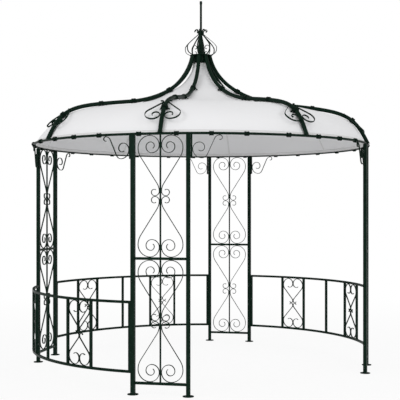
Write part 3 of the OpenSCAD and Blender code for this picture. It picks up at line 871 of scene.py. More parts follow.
class GAZEBO_OT_railings(Operator):
    """Curved railings with bars and scroll panels, in three of the four bays"""

    bl_idname = "gazebo.railings"
    bl_label = "Railings"

    def execute(self, context):
        scene = context.scene
        sizes, scroll = scene.gazebo_frame, scene.gazebo_scrolls
        end = rail_end(sizes, scroll)
        rail = sizes.cross_bar
        corner = sizes.tube_corner * 0.7
        sunk = 0.001  # how far the rails run into the posts
        half_turn = math.radians(end) + sunk / sizes.radius
        rails = [
            (arc_tube(lambda bm: flat_section(bm, rail, rail, corner, 3), sizes.radius, height,
                      half_turn, 48), Matrix())
            for height in (sizes.low_rail, sizes.top_rail)
        ]
        floor = sizes.low_rail + rail / 2
        ceiling = sizes.top_rail - rail / 2
        bar = tube_box((rail, rail, ceiling - floor), (0, 0, (floor + ceiling) / 2), corner)
        foot = weld_collar(rail, floor, sizes.weld_bead * 0.6)
        head = weld_collar(rail, ceiling, sizes.weld_bead * 0.6)
        last = end - along_rail(sizes, rail / 2 + scroll.weld_gap)
        inner = along_rail(sizes, sizes.panel_start)
        outer = along_rail(sizes, sizes.panel_start + sizes.panel_width)
        bars = []
        for turn in (-last, -outer, -inner, 0, inner, outer, last):
            place = at_azimuth(turn, sizes.radius)
            bars += [(bar, place), (foot, place), (head, place)]
        motif = railing_scrolls(sizes, scroll)
        middle = along_rail(sizes, sizes.panel_start + sizes.panel_width / 2)
        chord = sizes.radius * math.cos(math.radians(along_rail(sizes, sizes.panel_width / 2)))
        scrolls = [(mesh, at_azimuth(way * middle, chord) @ place)
                   for way in (-1, 1) for mesh, place in motif]
        for k, name in enumerate(BAYS):
            side = at_azimuth((k + 1.5) * BAY)
            for kind, parts in (("rails", rails), ("bars", bars), ("scrolls", scrolls)):
                metal(f"{kind}_{name}_welded", parts, f"{kind}_{name}", side)
        return {"FINISHED"}


# ---- Corner brackets ---------------------------------------------------------


def bracket_parts(sizes, scroll):
    """Bracket to the right of a post: x = 0 on the post and z = 0 at the posts' tops."""
    left = scroll.bracket_bar + scroll.weld_gap + scroll.thickness / 2
    foot = -scroll.bracket_height + scroll.thickness / 2
    hook_top = -scroll.weld_gap - scroll.thickness / 2
    lean = math.radians(scroll.bracket_lean)
    rise = hook_top - foot - 2 * scroll.bracket_bend * (1 - math.cos(lean))
    hook = scroll.bracket_hook
    pens = both_ways(
        left + scroll.bracket_head, foot, 180,
        winding(scroll.bracket_head, 0.75, 4, 50),
        [(scroll.bracket_bend, scroll.bracket_lean), (rise / math.sin(lean), 0),
         (scroll.bracket_bend, -scroll.bracket_lean), (hook, -90), (0.9 * hook, -90),
         (0.7 * hook, -30)]
    )
    tall = scroll.bracket_height
    upright = tube_box(
        (scroll.bracket_bar, scroll.depth, tall),
        (scroll.weld_gap + scroll.bracket_bar / 2, 0, -tall / 2), scroll.corner * 1.6
    )
    drop = bar_bead(sizes, scroll, 0.9, 1.7)
    lying = bar_bead(sizes, scroll, 1.6, 0.9)
    straight = rise / math.tan(lean) + 2 * scroll.bracket_bend * math.sin(lean)
    return [
        (bent_bar(pens, scroll), Matrix()),
        (upright, Matrix()),
        (drop, at(left - scroll.thickness / 2, foot + scroll.bracket_head)),
        (lying, at(left + scroll.bracket_head + straight, -0.0008)),
        (drop, at(0.0006, -0.030)),
        (drop, at(0.0006, -tall + 0.020)),
    ]


class GAZEBO_OT_brackets(Operator):
    """Scrolled brackets between the posts and the eaves ring"""

    bl_idname = "gazebo.brackets"
    bl_label = "Corner brackets"

    def execute(self, context):
        scene = context.scene
        sizes, scroll = scene.gazebo_frame, scene.gazebo_scrolls
        bracket = bracket_parts(sizes, scroll)
        half = math.asin(scroll.bracket_reach / 2 / sizes.radius)
        start = along_rail(sizes, sizes.post / 2 + scroll.depth / 2 * math.sin(2 * half))
        turn = half_frame(sizes) + start + math.degrees(half)
        stand = (at_azimuth(turn, sizes.radius * math.cos(half))
                 @ Matrix.Translation((-scroll.bracket_reach / 2, 0, sizes.post_top)))
        flips = (Matrix(), Matrix.Diagonal((-1, 1, 1, 1)))
        pair = [(mesh, flip @ stand @ place) for flip in flips for mesh, place in bracket]
        for side, name in enumerate(SIDES):
            metal(f"brackets_{name}_scrolls", pair, f"brackets_{name}", at_azimuth(side * BAY))
        return {"FINISHED"}


# ---- Eaves ring --------------------------------------------------------------


def ring_height(sizes, roof, scroll):
    """Height of the middle of the ring's tube."""
    return sizes.post_top + scroll.weld_gap + roof.ring_tube / 2


class GAZEBO_OT_ring(Operator):
    """Eaves ring of round tube, in four quarters, welded to the posts"""

    bl_idname = "gazebo.ring"
    bl_label = "Eaves ring"

    def execute(self, context):
        scene = context.scene
        sizes, scroll, roof = scene.gazebo_frame, scene.gazebo_scrolls, scene.gazebo_roof
        half_turn = math.radians(BAY / 2) - scroll.weld_gap / 2 / sizes.radius
        tube = arc_tube(lambda bm: round_section(bm, roof.ring_tube / 2, roof.facets),
                        sizes.radius, ring_height(sizes, roof, scroll), half_turn, 60)
        drop = bead(sizes.weld_bead, (sizes.post / sizes.weld_bead / 2, 1.6, 1))
        out, up = 0.0075, 0.0022
        parts = [(tube, Matrix())]
        for turn in (-BAY / 2 + half_frame(sizes), BAY / 2 - half_frame(sizes)):
            for face in (-1, 1):
                place = at_azimuth(turn, sizes.radius)
                parts.append((drop, place @ at(0, sizes.post_top + up, face * out)))
        for k, name in enumerate(RING_PARTS):
            metal(f"ring_{name}_tube", parts, f"ring_{name}", at_azimuth((k + 0.5) * BAY))
        return {"FINISHED"}


# ---- Roof ribs ---------------------------------------------------------------


class RibLine:
    """The ogee line of the ribs: two cubic curves of [radius, height], foot to crown."""

    # Handles of the two curves, as shares of the spans below and above the waist
    FOOT_HANDLE = (-0.17, -0.79)
    OUTER_HANDLE = 0.715
    INNER_HANDLE = 0.485
    CROWN_HANDLE = (0.088, 0.59)
    REST = 0.002  # how far a rib's wall stays inside the rim of the crown plate

    def __init__(self, sizes, scroll, roof):
        slope = math.radians(roof.waist_slope)
        direction = Vector((-math.cos(slope), math.sin(slope)))
        ring_top = ring_height(sizes, roof, scroll) + roof.ring_tube / 2
        plate = roof.plate_top - roof.plate_thickness
        foot = Vector((sizes.radius, ring_top + scroll.weld_gap))
        waist = Vector((roof.waist_radius, sizes.post_top + roof.waist_height))
        top = Vector((roof.plate_radius - roof.rib_tube / 2 - self.REST, plate - scroll.weld_gap))
        below, above = foot - waist, waist - top
        handle, crown = self.FOOT_HANDLE, self.CROWN_HANDLE
        self.lower = (foot, foot + Vector((handle[0] * below.x, handle[1] * below.y)),
                      waist - self.OUTER_HANDLE * below.x * direction, waist)
        self.upper = (waist, waist + self.INNER_HANDLE * above.x * direction,
                      top + Vector((crown[0] * above.x, crown[1] * above.y)), top)

    def spot(self, t):
        """Point for t from 0 at the foot, over 1 at the waist, to 2 at the crown."""
        return cubic(*self.lower, t) if t <= 1 else cubic(*self.upper, t - 1)

    def direction(self, t):
        """Unit vector along the line, towards the crown."""
        step = 0.004
        return (self.spot(min(2, t + step)) - self.spot(max(0, t - step))).normalized()

    def at_radius(self, radius):
        """The t at which the line passes a radius."""
        near, far = 0.0, 2.0
        for _ in range(40):
            middle = (near + far) / 2
            if self.spot(middle).x > radius:
                near = middle
            else:
                far = middle
        return near

    def pens(self, steps):
        """Pens along the line, drawn as [-radius, height] so that they fit the front."""
        found = []
        for k in range(steps + 1):
            t = 2 * k / steps
            spot, ahead = self.spot(t), self.direction(t)
            heading = math.degrees(math.atan2(ahead.y, ahead.x))
            found.append((spot.x, spot.y, 90.0 if k in (0, steps) else heading))
        return found


# Turns flat work from [x, z] into the upright plane of the front rib, x outwards
OUTWARDS = Matrix.Rotation(math.radians(-90), 4, "Z")


# Height and widening of the weld fillet at the foot of a rib
RIB_FILLET = ((0.0, 1.22), (0.0016, 1.12), (0.0042, 1.03))


def rib_tube(line, roof):
    """Tube of a rib with a weld fillet at its foot."""
    bm = bmesh.new()
    round_section(bm, roof.rib_tube / 2, roof.facets)
    pens = line.pens(72)
    frames = [section_place(p) for p in pens]
    foot = [frames[0] @ Matrix.Translation((0, 0, up)) @ Matrix.Diagonal((grow, grow, 1, 1))
            for up, grow in RIB_FILLET]
    sweep(bm, foot + frames[1:])
    return mesh_of(bm)


def wing_parts(line, sizes, scroll, roof):
    """The two scrolls on the shoulder of the front rib, in their sloping plane."""
    inner = roof.rib_tube / 2 + scroll.weld_gap + scroll.thickness / 2
    width = scroll.wing_width
    rate, bend, hook, lean = 0.72, 0.060, 0.014, 45
    lean_angle = math.radians(lean)
    head = width / (1 + rate)
    side = (inner + width, head - scroll.wing_length)
    run = (width - (bend + hook) * (1 - math.cos(lean_angle))) / math.sin(lean_angle)
    pens = both_ways(
        side[0], side[1], -90, winding(head, rate, 4, 45),
        [(bend, lean), (run, 0), (hook, -lean - 90), (0.8 * hook, -60)]
    )
    t = line.at_radius(sizes.radius - scroll.wing_inset)
    spot, ahead = line.spot(t), line.direction(t)
    start = spot + Vector((ahead.y, -ahead.x)) * scroll.wing_lift
    plane = (Matrix.Translation((0, -start.x, start.y))
             @ Matrix.Rotation(math.radians(scroll.wing_slope - 90), 4, "X"))
    near = (bend + hook) * math.sin(lean_angle) + run * math.cos(lean_angle)
    drop = bar_bead(sizes, scroll, 1.1, 2.2)
    edge = roof.rib_tube / 2
    parts = [
        (bent_bar(pens, scroll), Matrix()),
        (drop, at(edge, side[1] + near)),
        (drop, at(edge, side[1] - head + head * rate)),
    ]
    flips = (Matrix(), Matrix.Diagonal((-1, 1, 1, 1)))
    return [(mesh, plane @ flip @ place) for flip in flips for mesh, place in parts]


class GAZEBO_OT_ribs(Operator):
    """Eight ogee ribs of round tube, with a pair of scrolls on each shoulder"""

    bl_idname = "gazebo.ribs"
    bl_label = "Roof ribs"

    def execute(self, context):
        scene = context.scene
        sizes, scroll, roof = scene.gazebo_frame, scene.gazebo_scrolls, scene.gazebo_roof
        line = RibLine(sizes, scroll, roof)
        parts = [(rib_tube(line, roof), OUTWARDS)]
        parts += wing_parts(line, sizes, scroll, roof)
        for k, name in enumerate(RIBS):
            metal(f"rib_{name}_tube", parts, f"rib_{name}", at_azimuth(k * SECTOR), 50)
        return {"FINISHED"}


# ---- Crown -------------------------------------------------------------------


class GAZEBO_OT_crown_plate(Operator):
    """Round plate that caps the ribs, with the drum under it"""

    bl_idname = "gazebo.crown_plate"
    bl_label = "Crown plate"

    def execute(self, context):
        scene = context.scene
        scroll, roof = scene.gazebo_scrolls, scene.gazebo_roof
        plate = roof.plate_top - roof.plate_thickness
        drum = roof.plate_radius - roof.rib_tube - RibLine.REST - scroll.weld_gap
        edge, fillet = 0.0012, 0.003
        rim = roof.plate_radius
        inside = drum - 0.004
        profile = [
            (0, plate), (inside, plate), (inside, roof.drum_low + edge),
            (inside + edge, roof.drum_low), (drum - edge, roof.drum_low),
            (drum, roof.drum_low + edge), (drum, plate - fillet), (drum + fillet, plate),
            (rim - edge, plate), (rim, plate + edge), (rim, roof.plate_top - edge),
            (rim - edge, roof.plate_top), (0, roof.plate_top),
        ]
        parts = [(turned(profile, 72), Matrix())]
        spot = bead(scene.gazebo_frame.weld_bead, (2.4, 3.2, 1))
        for k in range(len(RIBS)):
            parts.append((spot, at_azimuth(k * SECTOR, drum + 0.012) @ at(0, plate - 0.001)))
        metal("crown_plate_drum", parts, "crown_plate")
        return {"FINISHED"}


# Moves of the hook at the top of each bar of the crown, after the bend in its neck
CROWN_HOOK = ((0.012, 0), (0.026, -40), (0.013, -115), (0.010, -60))


class GAZEBO_OT_onion_crown(Operator):
    """Eight bulging bars and four small scrolls round the spindle"""

    bl_idname = "gazebo.onion_crown"
    bl_label = "Onion crown"

    def execute(self, context):
        scene = context.scene
        scroll, roof = scene.gazebo_scrolls, scene.gazebo_roof
        foot = roof.plate_top + scroll.weld_gap
        base = Vector((roof.plate_radius - 0.005, foot + scroll.thickness / 2))
        belly = Vector((roof.belly_radius, foot + roof.belly_height))
        neck = Vector((roof.neck_radius, foot + roof.neck_height))
        heading = math.radians(roof.neck_heading)
        into_neck = Vector((math.cos(heading), math.sin(heading)))
        up = neck.y - belly.y
        lower = cubic_course(base, base + 0.6 * roof.belly_height * Vector((1, 0.3)),
                             belly - Vector((0, 0.55 * roof.belly_height)), belly, 12)
        upper = cubic_course(belly, belly + Vector((0, 0.23 * up)),
                             neck - 0.060 * into_neck, neck, 18)
        hook = course((neck.x, neck.y, roof.neck_heading), [(roof.neck_bend, -63), *CROWN_HOOK])
        bar = bent_bar(lower[:-1] + upper[:-1] + hook, scroll)
        foot_bead = bead(0.0026, (1.8, scroll.depth / 0.0052, 1))
        bulge, end = 0.070, 0.020
        tall = bulge * 0.5 + end * 0.5 + scroll.thickness / 2
        inner = bent_bar(both_ways(
            roof.inner_scroll, foot + tall, 90, [(bulge, 30), (end, 150), (0.6 * end, 120)],
            [(bulge, -30), (end, -150), (0.6 * end, -120)]
        ), scroll)
        parts = []
        for k in range(len(RIBS)):
            turn = at_azimuth(k * SECTOR) @ OUTWARDS
            parts += [(bar, turn), (foot_bead, turn @ at(base.x - 0.002, foot))]
        for k in range(len(SIDES)):
            parts.append((inner, at_azimuth(k * BAY) @ OUTWARDS))
        metal("onion_crown_bars", parts, "onion_crown")
        return {"FINISHED"}


# Outline of the finial, in four stretches: radius or step out, and height above or below
# the crown plate, the neck of the crown, and the tip
SPINDLE = (
    (0, 0), (0.0272, 0), (0.028, 0.0008), (0.028, 0.005), (0.0275, 0.006), (0.0253, 0.0095),
    (0.024, 0.016), (0.0222, 0.024), (0.021, 0.034), (0.0214, 0.044), (0.0232, 0.053),
    (0.0247, 0.062), (0.0249, 0.072), (0.0242, 0.086), (0.0231, 0.098), (0.0216, 0.112),
    (0.0186, 0.132), (0.0154, 0.154),
)
COLLAR = (
    (-0.003, -0.003), (-0.0008, -0.0004), (0, 0.002), (0, 0.018), (-0.0008, 0.0204),
    (-0.004, 0.0225),
)
ROD_FOOT = ((0.0035, 0.026), (0.0008, 0.030), (0, 0.034))
ROD_TIP = (
    (0, -0.0305), (0.0006, -0.0298), (0.0018, -0.0284), (0.002, -0.027), (0.002, -0.007),
    (0.0016, -0.0052), (-0.0006, -0.0025), (-0.0028, -0.0006), (-0.0045, 0),
)


class GAZEBO_OT_finial(Operator):
    """Turned spindle with its flange, collar and rod"""

    bl_idname = "gazebo.finial"
    bl_label = "Finial"

    def execute(self, context):
        scene = context.scene
        scroll, roof = scene.gazebo_scrolls, scene.gazebo_roof
        foot = roof.plate_top + scroll.weld_gap
        neck = foot + roof.neck_height
        narrow = roof.neck_bend * (1 - math.sin(math.radians(roof.neck_heading)))
        collar = roof.neck_radius - narrow - scroll.thickness / 2 - scroll.weld_gap
        rod, tip = roof.finial_rod, roof.finial_top
        profile = [(radius, foot + up) for radius, up in SPINDLE]
        profile += [(0.0132, neck - 0.012), (0.0136, neck - 0.008)]
        profile += [(collar + out, neck + up) for out, up in COLLAR]
        profile += [(rod + out, neck + up) for out, up in ROD_FOOT]
        profile += [(rod + out, tip + up) for out, up in ROD_TIP]
        profile.append((0, tip))
        metal("finial_spindle", [(turned(profile, 40), Matrix())], "finial")
        return {"FINISHED"}


# ---- Cover -------------------------------------------------------------------

BAND_CLOTH = 0.0030  # thickness of the hem and of the crown binding
BAND_LIFT = 0.0009  # how far they stand above the cover
BAND_MARGIN = 0.004  # from their stitches to their edges
BINDING = 0.04  # length of the crown binding on the scale of the rib line
TAPE_CLOTH = 0.0008  # thickness of the tape under a seam
TAPE_DROP = 0.0013  # how far it lies under the cover's top side
TAPE_MARGIN = 0.0025  # from its stitches to its edges


def smooth(x):
    """Smooth step from 0 to 1."""
    s = min(1.0, max(0.0, x))
    return s * s * (3 - 2 * s)


class CoverShape:
    """Shape of the cover: a point for t along the rib line and an azimuth."""

    TOP = 1.9286  # where the cover ends, on the scale of the rib line
    STEPS = 200  # stretches in which the rib line is measured
    SLACK_SHARE = 0.47  # share of the way from the last straps to the middle that it takes
    SAG_REACH = 0.11  # how far from a rib its sag is felt
    FOLDS = 6.5  # how closely the folds fan out from a strap
    FOLD_SHIFT = 9  # how much the fan turns from one strap to the next
    FOLD_REACH = 0.34  # how far from a strap its folds are drawn
    FOLD_FADE = 0.12  # how fast they fade
    FOLD_START = 0.035  # where they reach their full depth
    CLEAR_SIDE = 0.10  # how far from a rib the broad waves reach their full depth
    CLEAR_EAVES = 0.12  # the same from the eaves ring

    def __init__(self, scene):
        self.cover = scene.gazebo_cover
        self.roof = scene.gazebo_roof
        self.gap = scene.gazebo_scrolls.weld_gap
        self.line = RibLine(scene.gazebo_frame, scene.gazebo_scrolls, self.roof)
        self.ties = rib_strap_spots(self.line, scene.gazebo_frame)
        self.slack_start = self.line.spot(self.ties[-1]).x
        self.arc = [0.0]
        spots = [self.line.spot(self.TOP * k / self.STEPS) for k in range(self.STEPS + 1)]
        for before, after in zip(spots, spots[1:]):
            self.arc.append(self.arc[-1] + (after - before).length)

    def run(self, t):
        """Distance along the rib line from its foot."""
        step = t / self.TOP * self.STEPS
        k = min(self.STEPS - 1, max(0, int(step)))
        return self.arc[k] + (self.arc[k + 1] - self.arc[k]) * (step - k)

    def skin(self, t):
        """Point [radius, height] of the top skin under a rib, and the way down from it."""
        spot, ahead = self.line.spot(t), self.line.direction(t)
        down = Vector((-ahead.y, ahead.x))
        slack = self.cover.crown_slack * smooth(
            (self.slack_start - spot.x) / (self.SLACK_SHARE * self.slack_start))
        return spot + down * (self.roof.rib_tube / 2 + self.gap + slack), down

    def relief(self, t, from_rib, radius, azimuth):
        """How far the cloth hangs below its taut shape."""
        cover = self.cover
        beside = radius * math.radians(from_rib)
        here = self.run(t)
        ties = [0.0] + [self.run(tie) for tie in self.ties]
        before = max((tie for tie in ties if tie <= here), default=0.0)
        after = min((tie for tie in ties if tie > here), default=self.run(self.TOP) + 0.1)
        scallop = math.sin(math.pi * (here - before) / (after - before)) ** 2
        depth = cover.sag * scallop * math.exp(-(beside / self.SAG_REACH) ** 2)
        for tie in ties[1:]:
            away = math.hypot(here - tie, beside)
            if away < self.FOLD_REACH:
                ray = math.atan2(here - tie, beside + 1e-6)
                folds = 0.5 + 0.5 * math.cos(self.FOLDS * ray + self.FOLD_SHIFT * tie)
                depth += (cover.pucker * folds * math.exp(-away / self.FOLD_FADE)
                          * smooth(away / self.FOLD_START))
        around = Vector((math.cos(math.radians(azimuth)), math.sin(math.radians(azimuth)), 0))
        broad = noise.noise(around * 3.1 + Vector((0, 0, 2.6 * here)))
        drag = noise.noise(around * 5.0 + Vector((0, 0, 7.5 * here)))
        middle = smooth(beside / self.CLEAR_SIDE) * smooth(here / self.CLEAR_EAVES)
        return depth + cover.drift * middle * (0.9 + 0.8 * broad + 0.35 * drag)

    def point(self, t, azimuth, lift=0.0):
        """Point of the cover's top skin, or `lift` below it."""
        skin, down = self.skin(t)
        step = azimuth % SECTOR
        from_rib = min(step, SECTOR - step)
        blend = smooth(t / self.TOP * 3)
        flat = self.cover.eaves_flat + (self.cover.gore_flat - self.cover.eaves_flat) * blend
        half = math.radians(SECTOR / 2)
        chord = math.cos(half) / math.cos(half - math.radians(from_rib))
        gore = 1 - flat * (1 - chord)
        spot = skin + down * (self.relief(t, from_rib, skin.x * gore, azimuth) + lift)
        radius = spot.x - skin.x * (1 - gore)
        turn = math.radians(azimuth)
        return Vector((radius * math.sin(turn), -radius * math.cos(turn), spot.y))


def rib_strap_spots(line, sizes):
    """Where the straps sit on the rib line."""
    return [line.at_radius(sizes.radius - inset) for inset in RIB_STRAPS]


def cloth_piece(name, bm, nodes, thickness, stitched=False):
    """A piece of cloth, drawn as its top side, whose thickness goes down from there."""
    kind = "cover_band_cloth" if stitched else "cover_cloth"
    made = piece(name, bm, finish_of(kind, cover_cloth, stitched), nodes, 80,
                 False)
    if sum(f.normal.z * f.area for f in made.data.polygons) < 0:
        made.data.flip_normals()
    solid = made.modifiers.new("Cloth", "SOLIDIFY")
    solid.thickness = thickness
    solid.offset = -1.0
    return made


class GAZEBO_OT_cover(Operator):
    """Fabric roof cover in one curved sheet, with its hem, crown binding and seams"""

    bl_idname = "gazebo.cover"
    bl_label = "Cover"

    def execute(self, context):
        scene = context.scene
        cover = scene.gazebo_cover
        shape = CoverShape(scene)
        around = len(RIBS) * cover.columns
        bm = bmesh.new()
        verts = [bm.verts.new((1.0, 0.0, k / cover.rows)) for k in range(cover.rows + 1)]
        edges = [bm.edges.new(pair) for pair in zip(verts, verts[1:])]
        bmesh.ops.spin(bm, geom=verts + edges, cent=(0, 0, 0), axis=(0, 0, 1),
                       angle=math.tau, steps=around, use_merge=True)
        bmesh.ops.remove_doubles(bm, verts=bm.verts, dist=1e-5)
        self.hang(bm, shape, math.tau * scene.gazebo_frame.radius)
        sheet = cloth_piece("cover_canopy", bm, ["cover"], cover.thickness)
        bands = self.bands(scene, shape)
        area = self.cut_area(shape)
        gore = 2 * math.radians(SECTOR / 2) * shape.skin(0)[0].x
        return {"FINISHED"}

    def hang(self, bm, shape, width):
        """Maps the round grid in metres and moves it to the shape of the cover."""
        layer = bm.loops.layers.uv.new("UVMap")
        turns = {}
        for vert in bm.verts:
            azimuth = math.degrees(math.atan2(vert.co.x, -vert.co.y)) % 360
            turns[vert] = (azimuth, CoverShape.TOP * vert.co.z)
        for face in bm.faces:
            azimuths = [turns[loop.vert][0] for loop in face.loops]
            wraps = max(azimuths) - min(azimuths) > 180
            for loop in face.loops:
                azimuth, t = turns[loop.vert]
                if wraps and azimuth < 180:
                    azimuth += 360
                loop[layer].uv = (azimuth / 360 * width, shape.run(t))
        for vert, (azimuth, t) in turns.items():
            vert.co = shape.point(t, azimuth)

    def cut_area(self, shape):
        """Flat area of the eight gores, before they were sewn together."""
        area, steps = 0.0, 60
        for k in range(steps):
            start, end = CoverShape.TOP * k / steps, CoverShape.TOP * (k + 1) / steps
            radius = (shape.skin(start)[0].x + shape.skin(end)[0].x) / 2
            area += math.tau * radius * (shape.run(end) - shape.run(start))
        return area

    def bands(self, scene, shape):
        """The hem, the crown binding and the taped seams, as separate bands of cloth."""
        hem_top = shape.line.at_radius(shape.line.spot(0).x - 0.004)
        while shape.run(hem_top) < scene.gazebo_cover.hem:
            hem_top += 0.002
        top = CoverShape.TOP
        made = [
            self.ring_band("cover_hem", shape, [hem_top * k / 6 for k in range(7)],
                           scene.gazebo_frame.radius),
            self.ring_band("cover_crown_binding", shape,
                           [top - BINDING + BINDING * k / 5 for k in range(6)],
                           shape.skin(top)[0].x),
        ]
        ts = [BINDING / 2 + (top - BINDING) * k / 90 for k in range(91)]
        for k, name in enumerate(RIBS):
            made.append(self.seam(f"cover_seam_{name}", shape, ts, k * SECTOR))
        return made

    def ring_band(self, name, shape, ts, radius):
        """Closed band round the cover, folded about its edge."""
        start, end = shape.run(ts[0]), shape.run(ts[-1])
        stretch = STITCH_ROWS / ((end - start) / 2 - BAND_MARGIN)

        def spot_of(share, t):
            azimuth = 360 * share
            flat = (math.radians(azimuth) * radius, (shape.run(t) - (start + end) / 2) * stretch)
            return flat, shape.point(t, azimuth, -BAND_LIFT)

        return self.strip(name, ts, 240, spot_of, BAND_CLOTH)

    def seam(self, name, shape, ts, azimuth):
        """Tape under one seam of the cover."""
        half = bpy.context.scene.gazebo_cover.seam

        def spot_of(share, t):
            side = 2 * share - 1
            flat = (shape.run(t), side * half * STITCH_ROWS / (half - TAPE_MARGIN))
            turn = math.degrees(side * half / shape.skin(t)[0].x)
            return flat, shape.point(t, azimuth + turn, TAPE_DROP)

        return self.strip(name, ts, 4, spot_of, TAPE_CLOTH)

    def strip(self, name, ts, columns, spot_of, thickness):
        """Strip of cloth with two rows of stitches; its UV map runs along and across it."""
        bm = bmesh.new()
        rows = len(ts) - 1
        bmesh.ops.create_grid(bm, x_segments=columns, y_segments=rows, size=0.5)
        layer = bm.loops.layers.uv.new("UVMap")
        flat = {}
        for vert in bm.verts:
            t = ts[round((vert.co.y + 0.5) * rows)]
            flat[vert], vert.co = spot_of(vert.co.x + 0.5, t)
        for face in bm.faces:
            for loop in face.loops:
                loop[layer].uv = flat[loop.vert]
        bmesh.ops.remove_doubles(bm, verts=bm.verts, dist=1e-5)
        return cloth_piece(name, bm, [], thickness, stitched=True)


# ---- Straps ------------------------------------------------------------------


EDGE_FLARE = 0.0014  # how far the rolled edges of a strap stand out


def webbing_section(width, thickness, flare):
    """Cross section [along, out] of a strap: thick at its middle, rolled at its edges."""
    half, bump = width / 2, thickness / 2
    return [
        (-half, 0.0), (-half, thickness + flare), (-half + bump, thickness * 1.35 + flare),
        (-half + 2 * bump, thickness + flare * 0.7), (-half * 0.45, thickness),
        (half * 0.45, thickness), (half - 2 * bump, thickness + flare * 0.7),
        (half - bump, thickness * 1.35 + flare), (half, thickness + flare), (half, 0.0),
    ]


def wrap(radius, width, thickness, flare, start, turn, lift=0.0):
    """Strap wound about the X axis, from `start` degrees off the top through `turn`."""
    bm = bmesh.new()
    outline = webbing_section(width, thickness, flare)
    verts = [bm.verts.new((x, 0, radius + out)) for x, out in outline]
    bm.faces.new(verts)
    bmesh.ops.rotate(bm, cent=(0, 0, 0), verts=bm.verts,
                     matrix=Matrix.Rotation(math.radians(start), 3, "X"))
    steps = max(6, math.ceil(abs(turn) / 12))
    edges = bm.edges[:]
    layer = bm.loops.layers.uv.new("UVMap")
    step = Matrix.Rotation(math.radians(turn / steps), 4, "X")
    grow = Matrix.Diagonal((1, 1 + lift / radius / steps, 1 + lift / radius / steps, 1))
    for _ in range(steps):
        made = bmesh.ops.extrude_edge_only(bm, edges=edges)["geom"]
        edges = [g for g in made if isinstance(g, BMEdge)]
        verts = [g for g in made if isinstance(g, BMVert)]
        bmesh.ops.transform(bm, matrix=grow @ step, verts=verts)
    bmesh.ops.contextual_create(bm, geom=edges)
    for face in bm.faces:
        for loop in face.loops:
            spot = loop.vert.co
            loop[layer].uv = (math.atan2(spot.y, spot.z) * radius, spot.x)
    return mesh_of(bm)


def loose_end(radius, width, thickness, reach, side):
    """Loose end of a strap, which leaves the wrap and curls a little."""
    bm = bmesh.new()
    flat_section(bm, thickness, width, thickness * 0.4)
    layer = bm.loops.layers.uv.new("UVMap")
    pens = course((0, 0, -70), [(0.012, 40), (reach * 0.5, 0), (0.015, -30)])
    sweep(bm, nosed(pens, thickness * 0.4))
    for face in bm.faces:
        for loop in face.loops:
            loop[layer].uv = (loop.vert.co.z, loop.vert.co.y)
    turn = Matrix.Rotation(math.radians(90 * side), 4, "Z")
    bmesh.ops.transform(
        bm, matrix=turn @ Matrix.Translation((radius, 0, -radius * 0.2)), verts=bm.verts)
    return mesh_of(bm)


class GAZEBO_OT_straps(Operator):
    """Webbing straps that tie the cover to the ring and to the ribs"""

    bl_idname = "gazebo.straps"
    bl_label = "Straps"

    def execute(self, context):
        scene = context.scene
        self.ring_straps(scene)
        self.rib_straps(scene)
        return {"FINISHED"}

    def ring_straps(self, scene):
        sizes, scroll, roof = scene.gazebo_frame, scene.gazebo_scrolls, scene.gazebo_roof
        cover = scene.gazebo_cover
        tube = roof.ring_tube / 2 + scroll.weld_gap
        width, cloth = cover.ring_strap, cover.webbing
        cuff = wrap(tube, width, cloth, EDGE_FLARE, start=130, turn=400, lift=0.0012)
        over = wrap(tube + cloth + 0.0006, width * 0.82, cloth * 0.6, 0.0, start=100, turn=120,
                    lift=0.0004)
        half = math.radians(half_frame(sizes)) * sizes.radius
        spots = list(FRAME_STRAPS)
        spots += [half + spot for spot in RIGHT_STRAPS]
        spots += [-half - spot for spot in LEFT_STRAPS]
        height = ring_height(sizes, roof, scroll)
        parts = []
        for side in range(len(SIDES)):
            for spot in spots:
                place = at_azimuth(side * BAY + along_rail(sizes, spot), sizes.radius)
                tilt = Matrix.Rotation(0.12 * math.sin(37 * spot + side), 4, "X")
                parts += [(mesh, place @ at(0, height) @ tilt) for mesh in (cuff, over)]
        self.webbing("ring_straps", parts)

    def rib_straps(self, scene):
        sizes, scroll, roof = scene.gazebo_frame, scene.gazebo_scrolls, scene.gazebo_roof
        cover = scene.gazebo_cover
        line = RibLine(sizes, scroll, roof)
        tube = roof.rib_tube / 2 + scroll.weld_gap
        parts = []
        width = cover.rib_strap
        for number, t in enumerate(rib_strap_spots(line, sizes)):
            cloth = cover.webbing * (1.5 if number == 0 else 1.0)
            cuff = wrap(tube, width, cloth, EDGE_FLARE, start=-137, turn=274)
            over = wrap(tube + cloth, width * 0.8, cloth * 0.5, 0.0, start=-60, turn=120)
            ends = [loose_end(tube + cloth, width * 0.6, cover.webbing * 0.6,
                              cover.strap_tail, way) for way in (-1, 1)]
            spot, ahead = line.spot(t), line.direction(t)
            lean = Matrix.Rotation(math.atan2(ahead.y, -ahead.x), 4, "X")
            along = Matrix.Rotation(math.radians(90), 4, "Z")
            for k in range(len(RIBS)):
                place = (at_azimuth(k * SECTOR) @ Matrix.Translation((0, -spot.x, spot.y))
                         @ lean @ along)
                parts += [(mesh, place) for mesh in (cuff, over, *ends)]
        self.webbing("rib_straps", parts)

    def webbing(self, node, parts):
        """One piece of webbing for all the straps of a node."""
        green = finish_of("green_webbing", strap_webbing)
        piece(f"{node}_webbing", joined(parts), green, [node], 50, False)


# ---- Stage -------------------------------------------------------------------

WHITE = (1.0, 1.0, 1.0, 1.0)
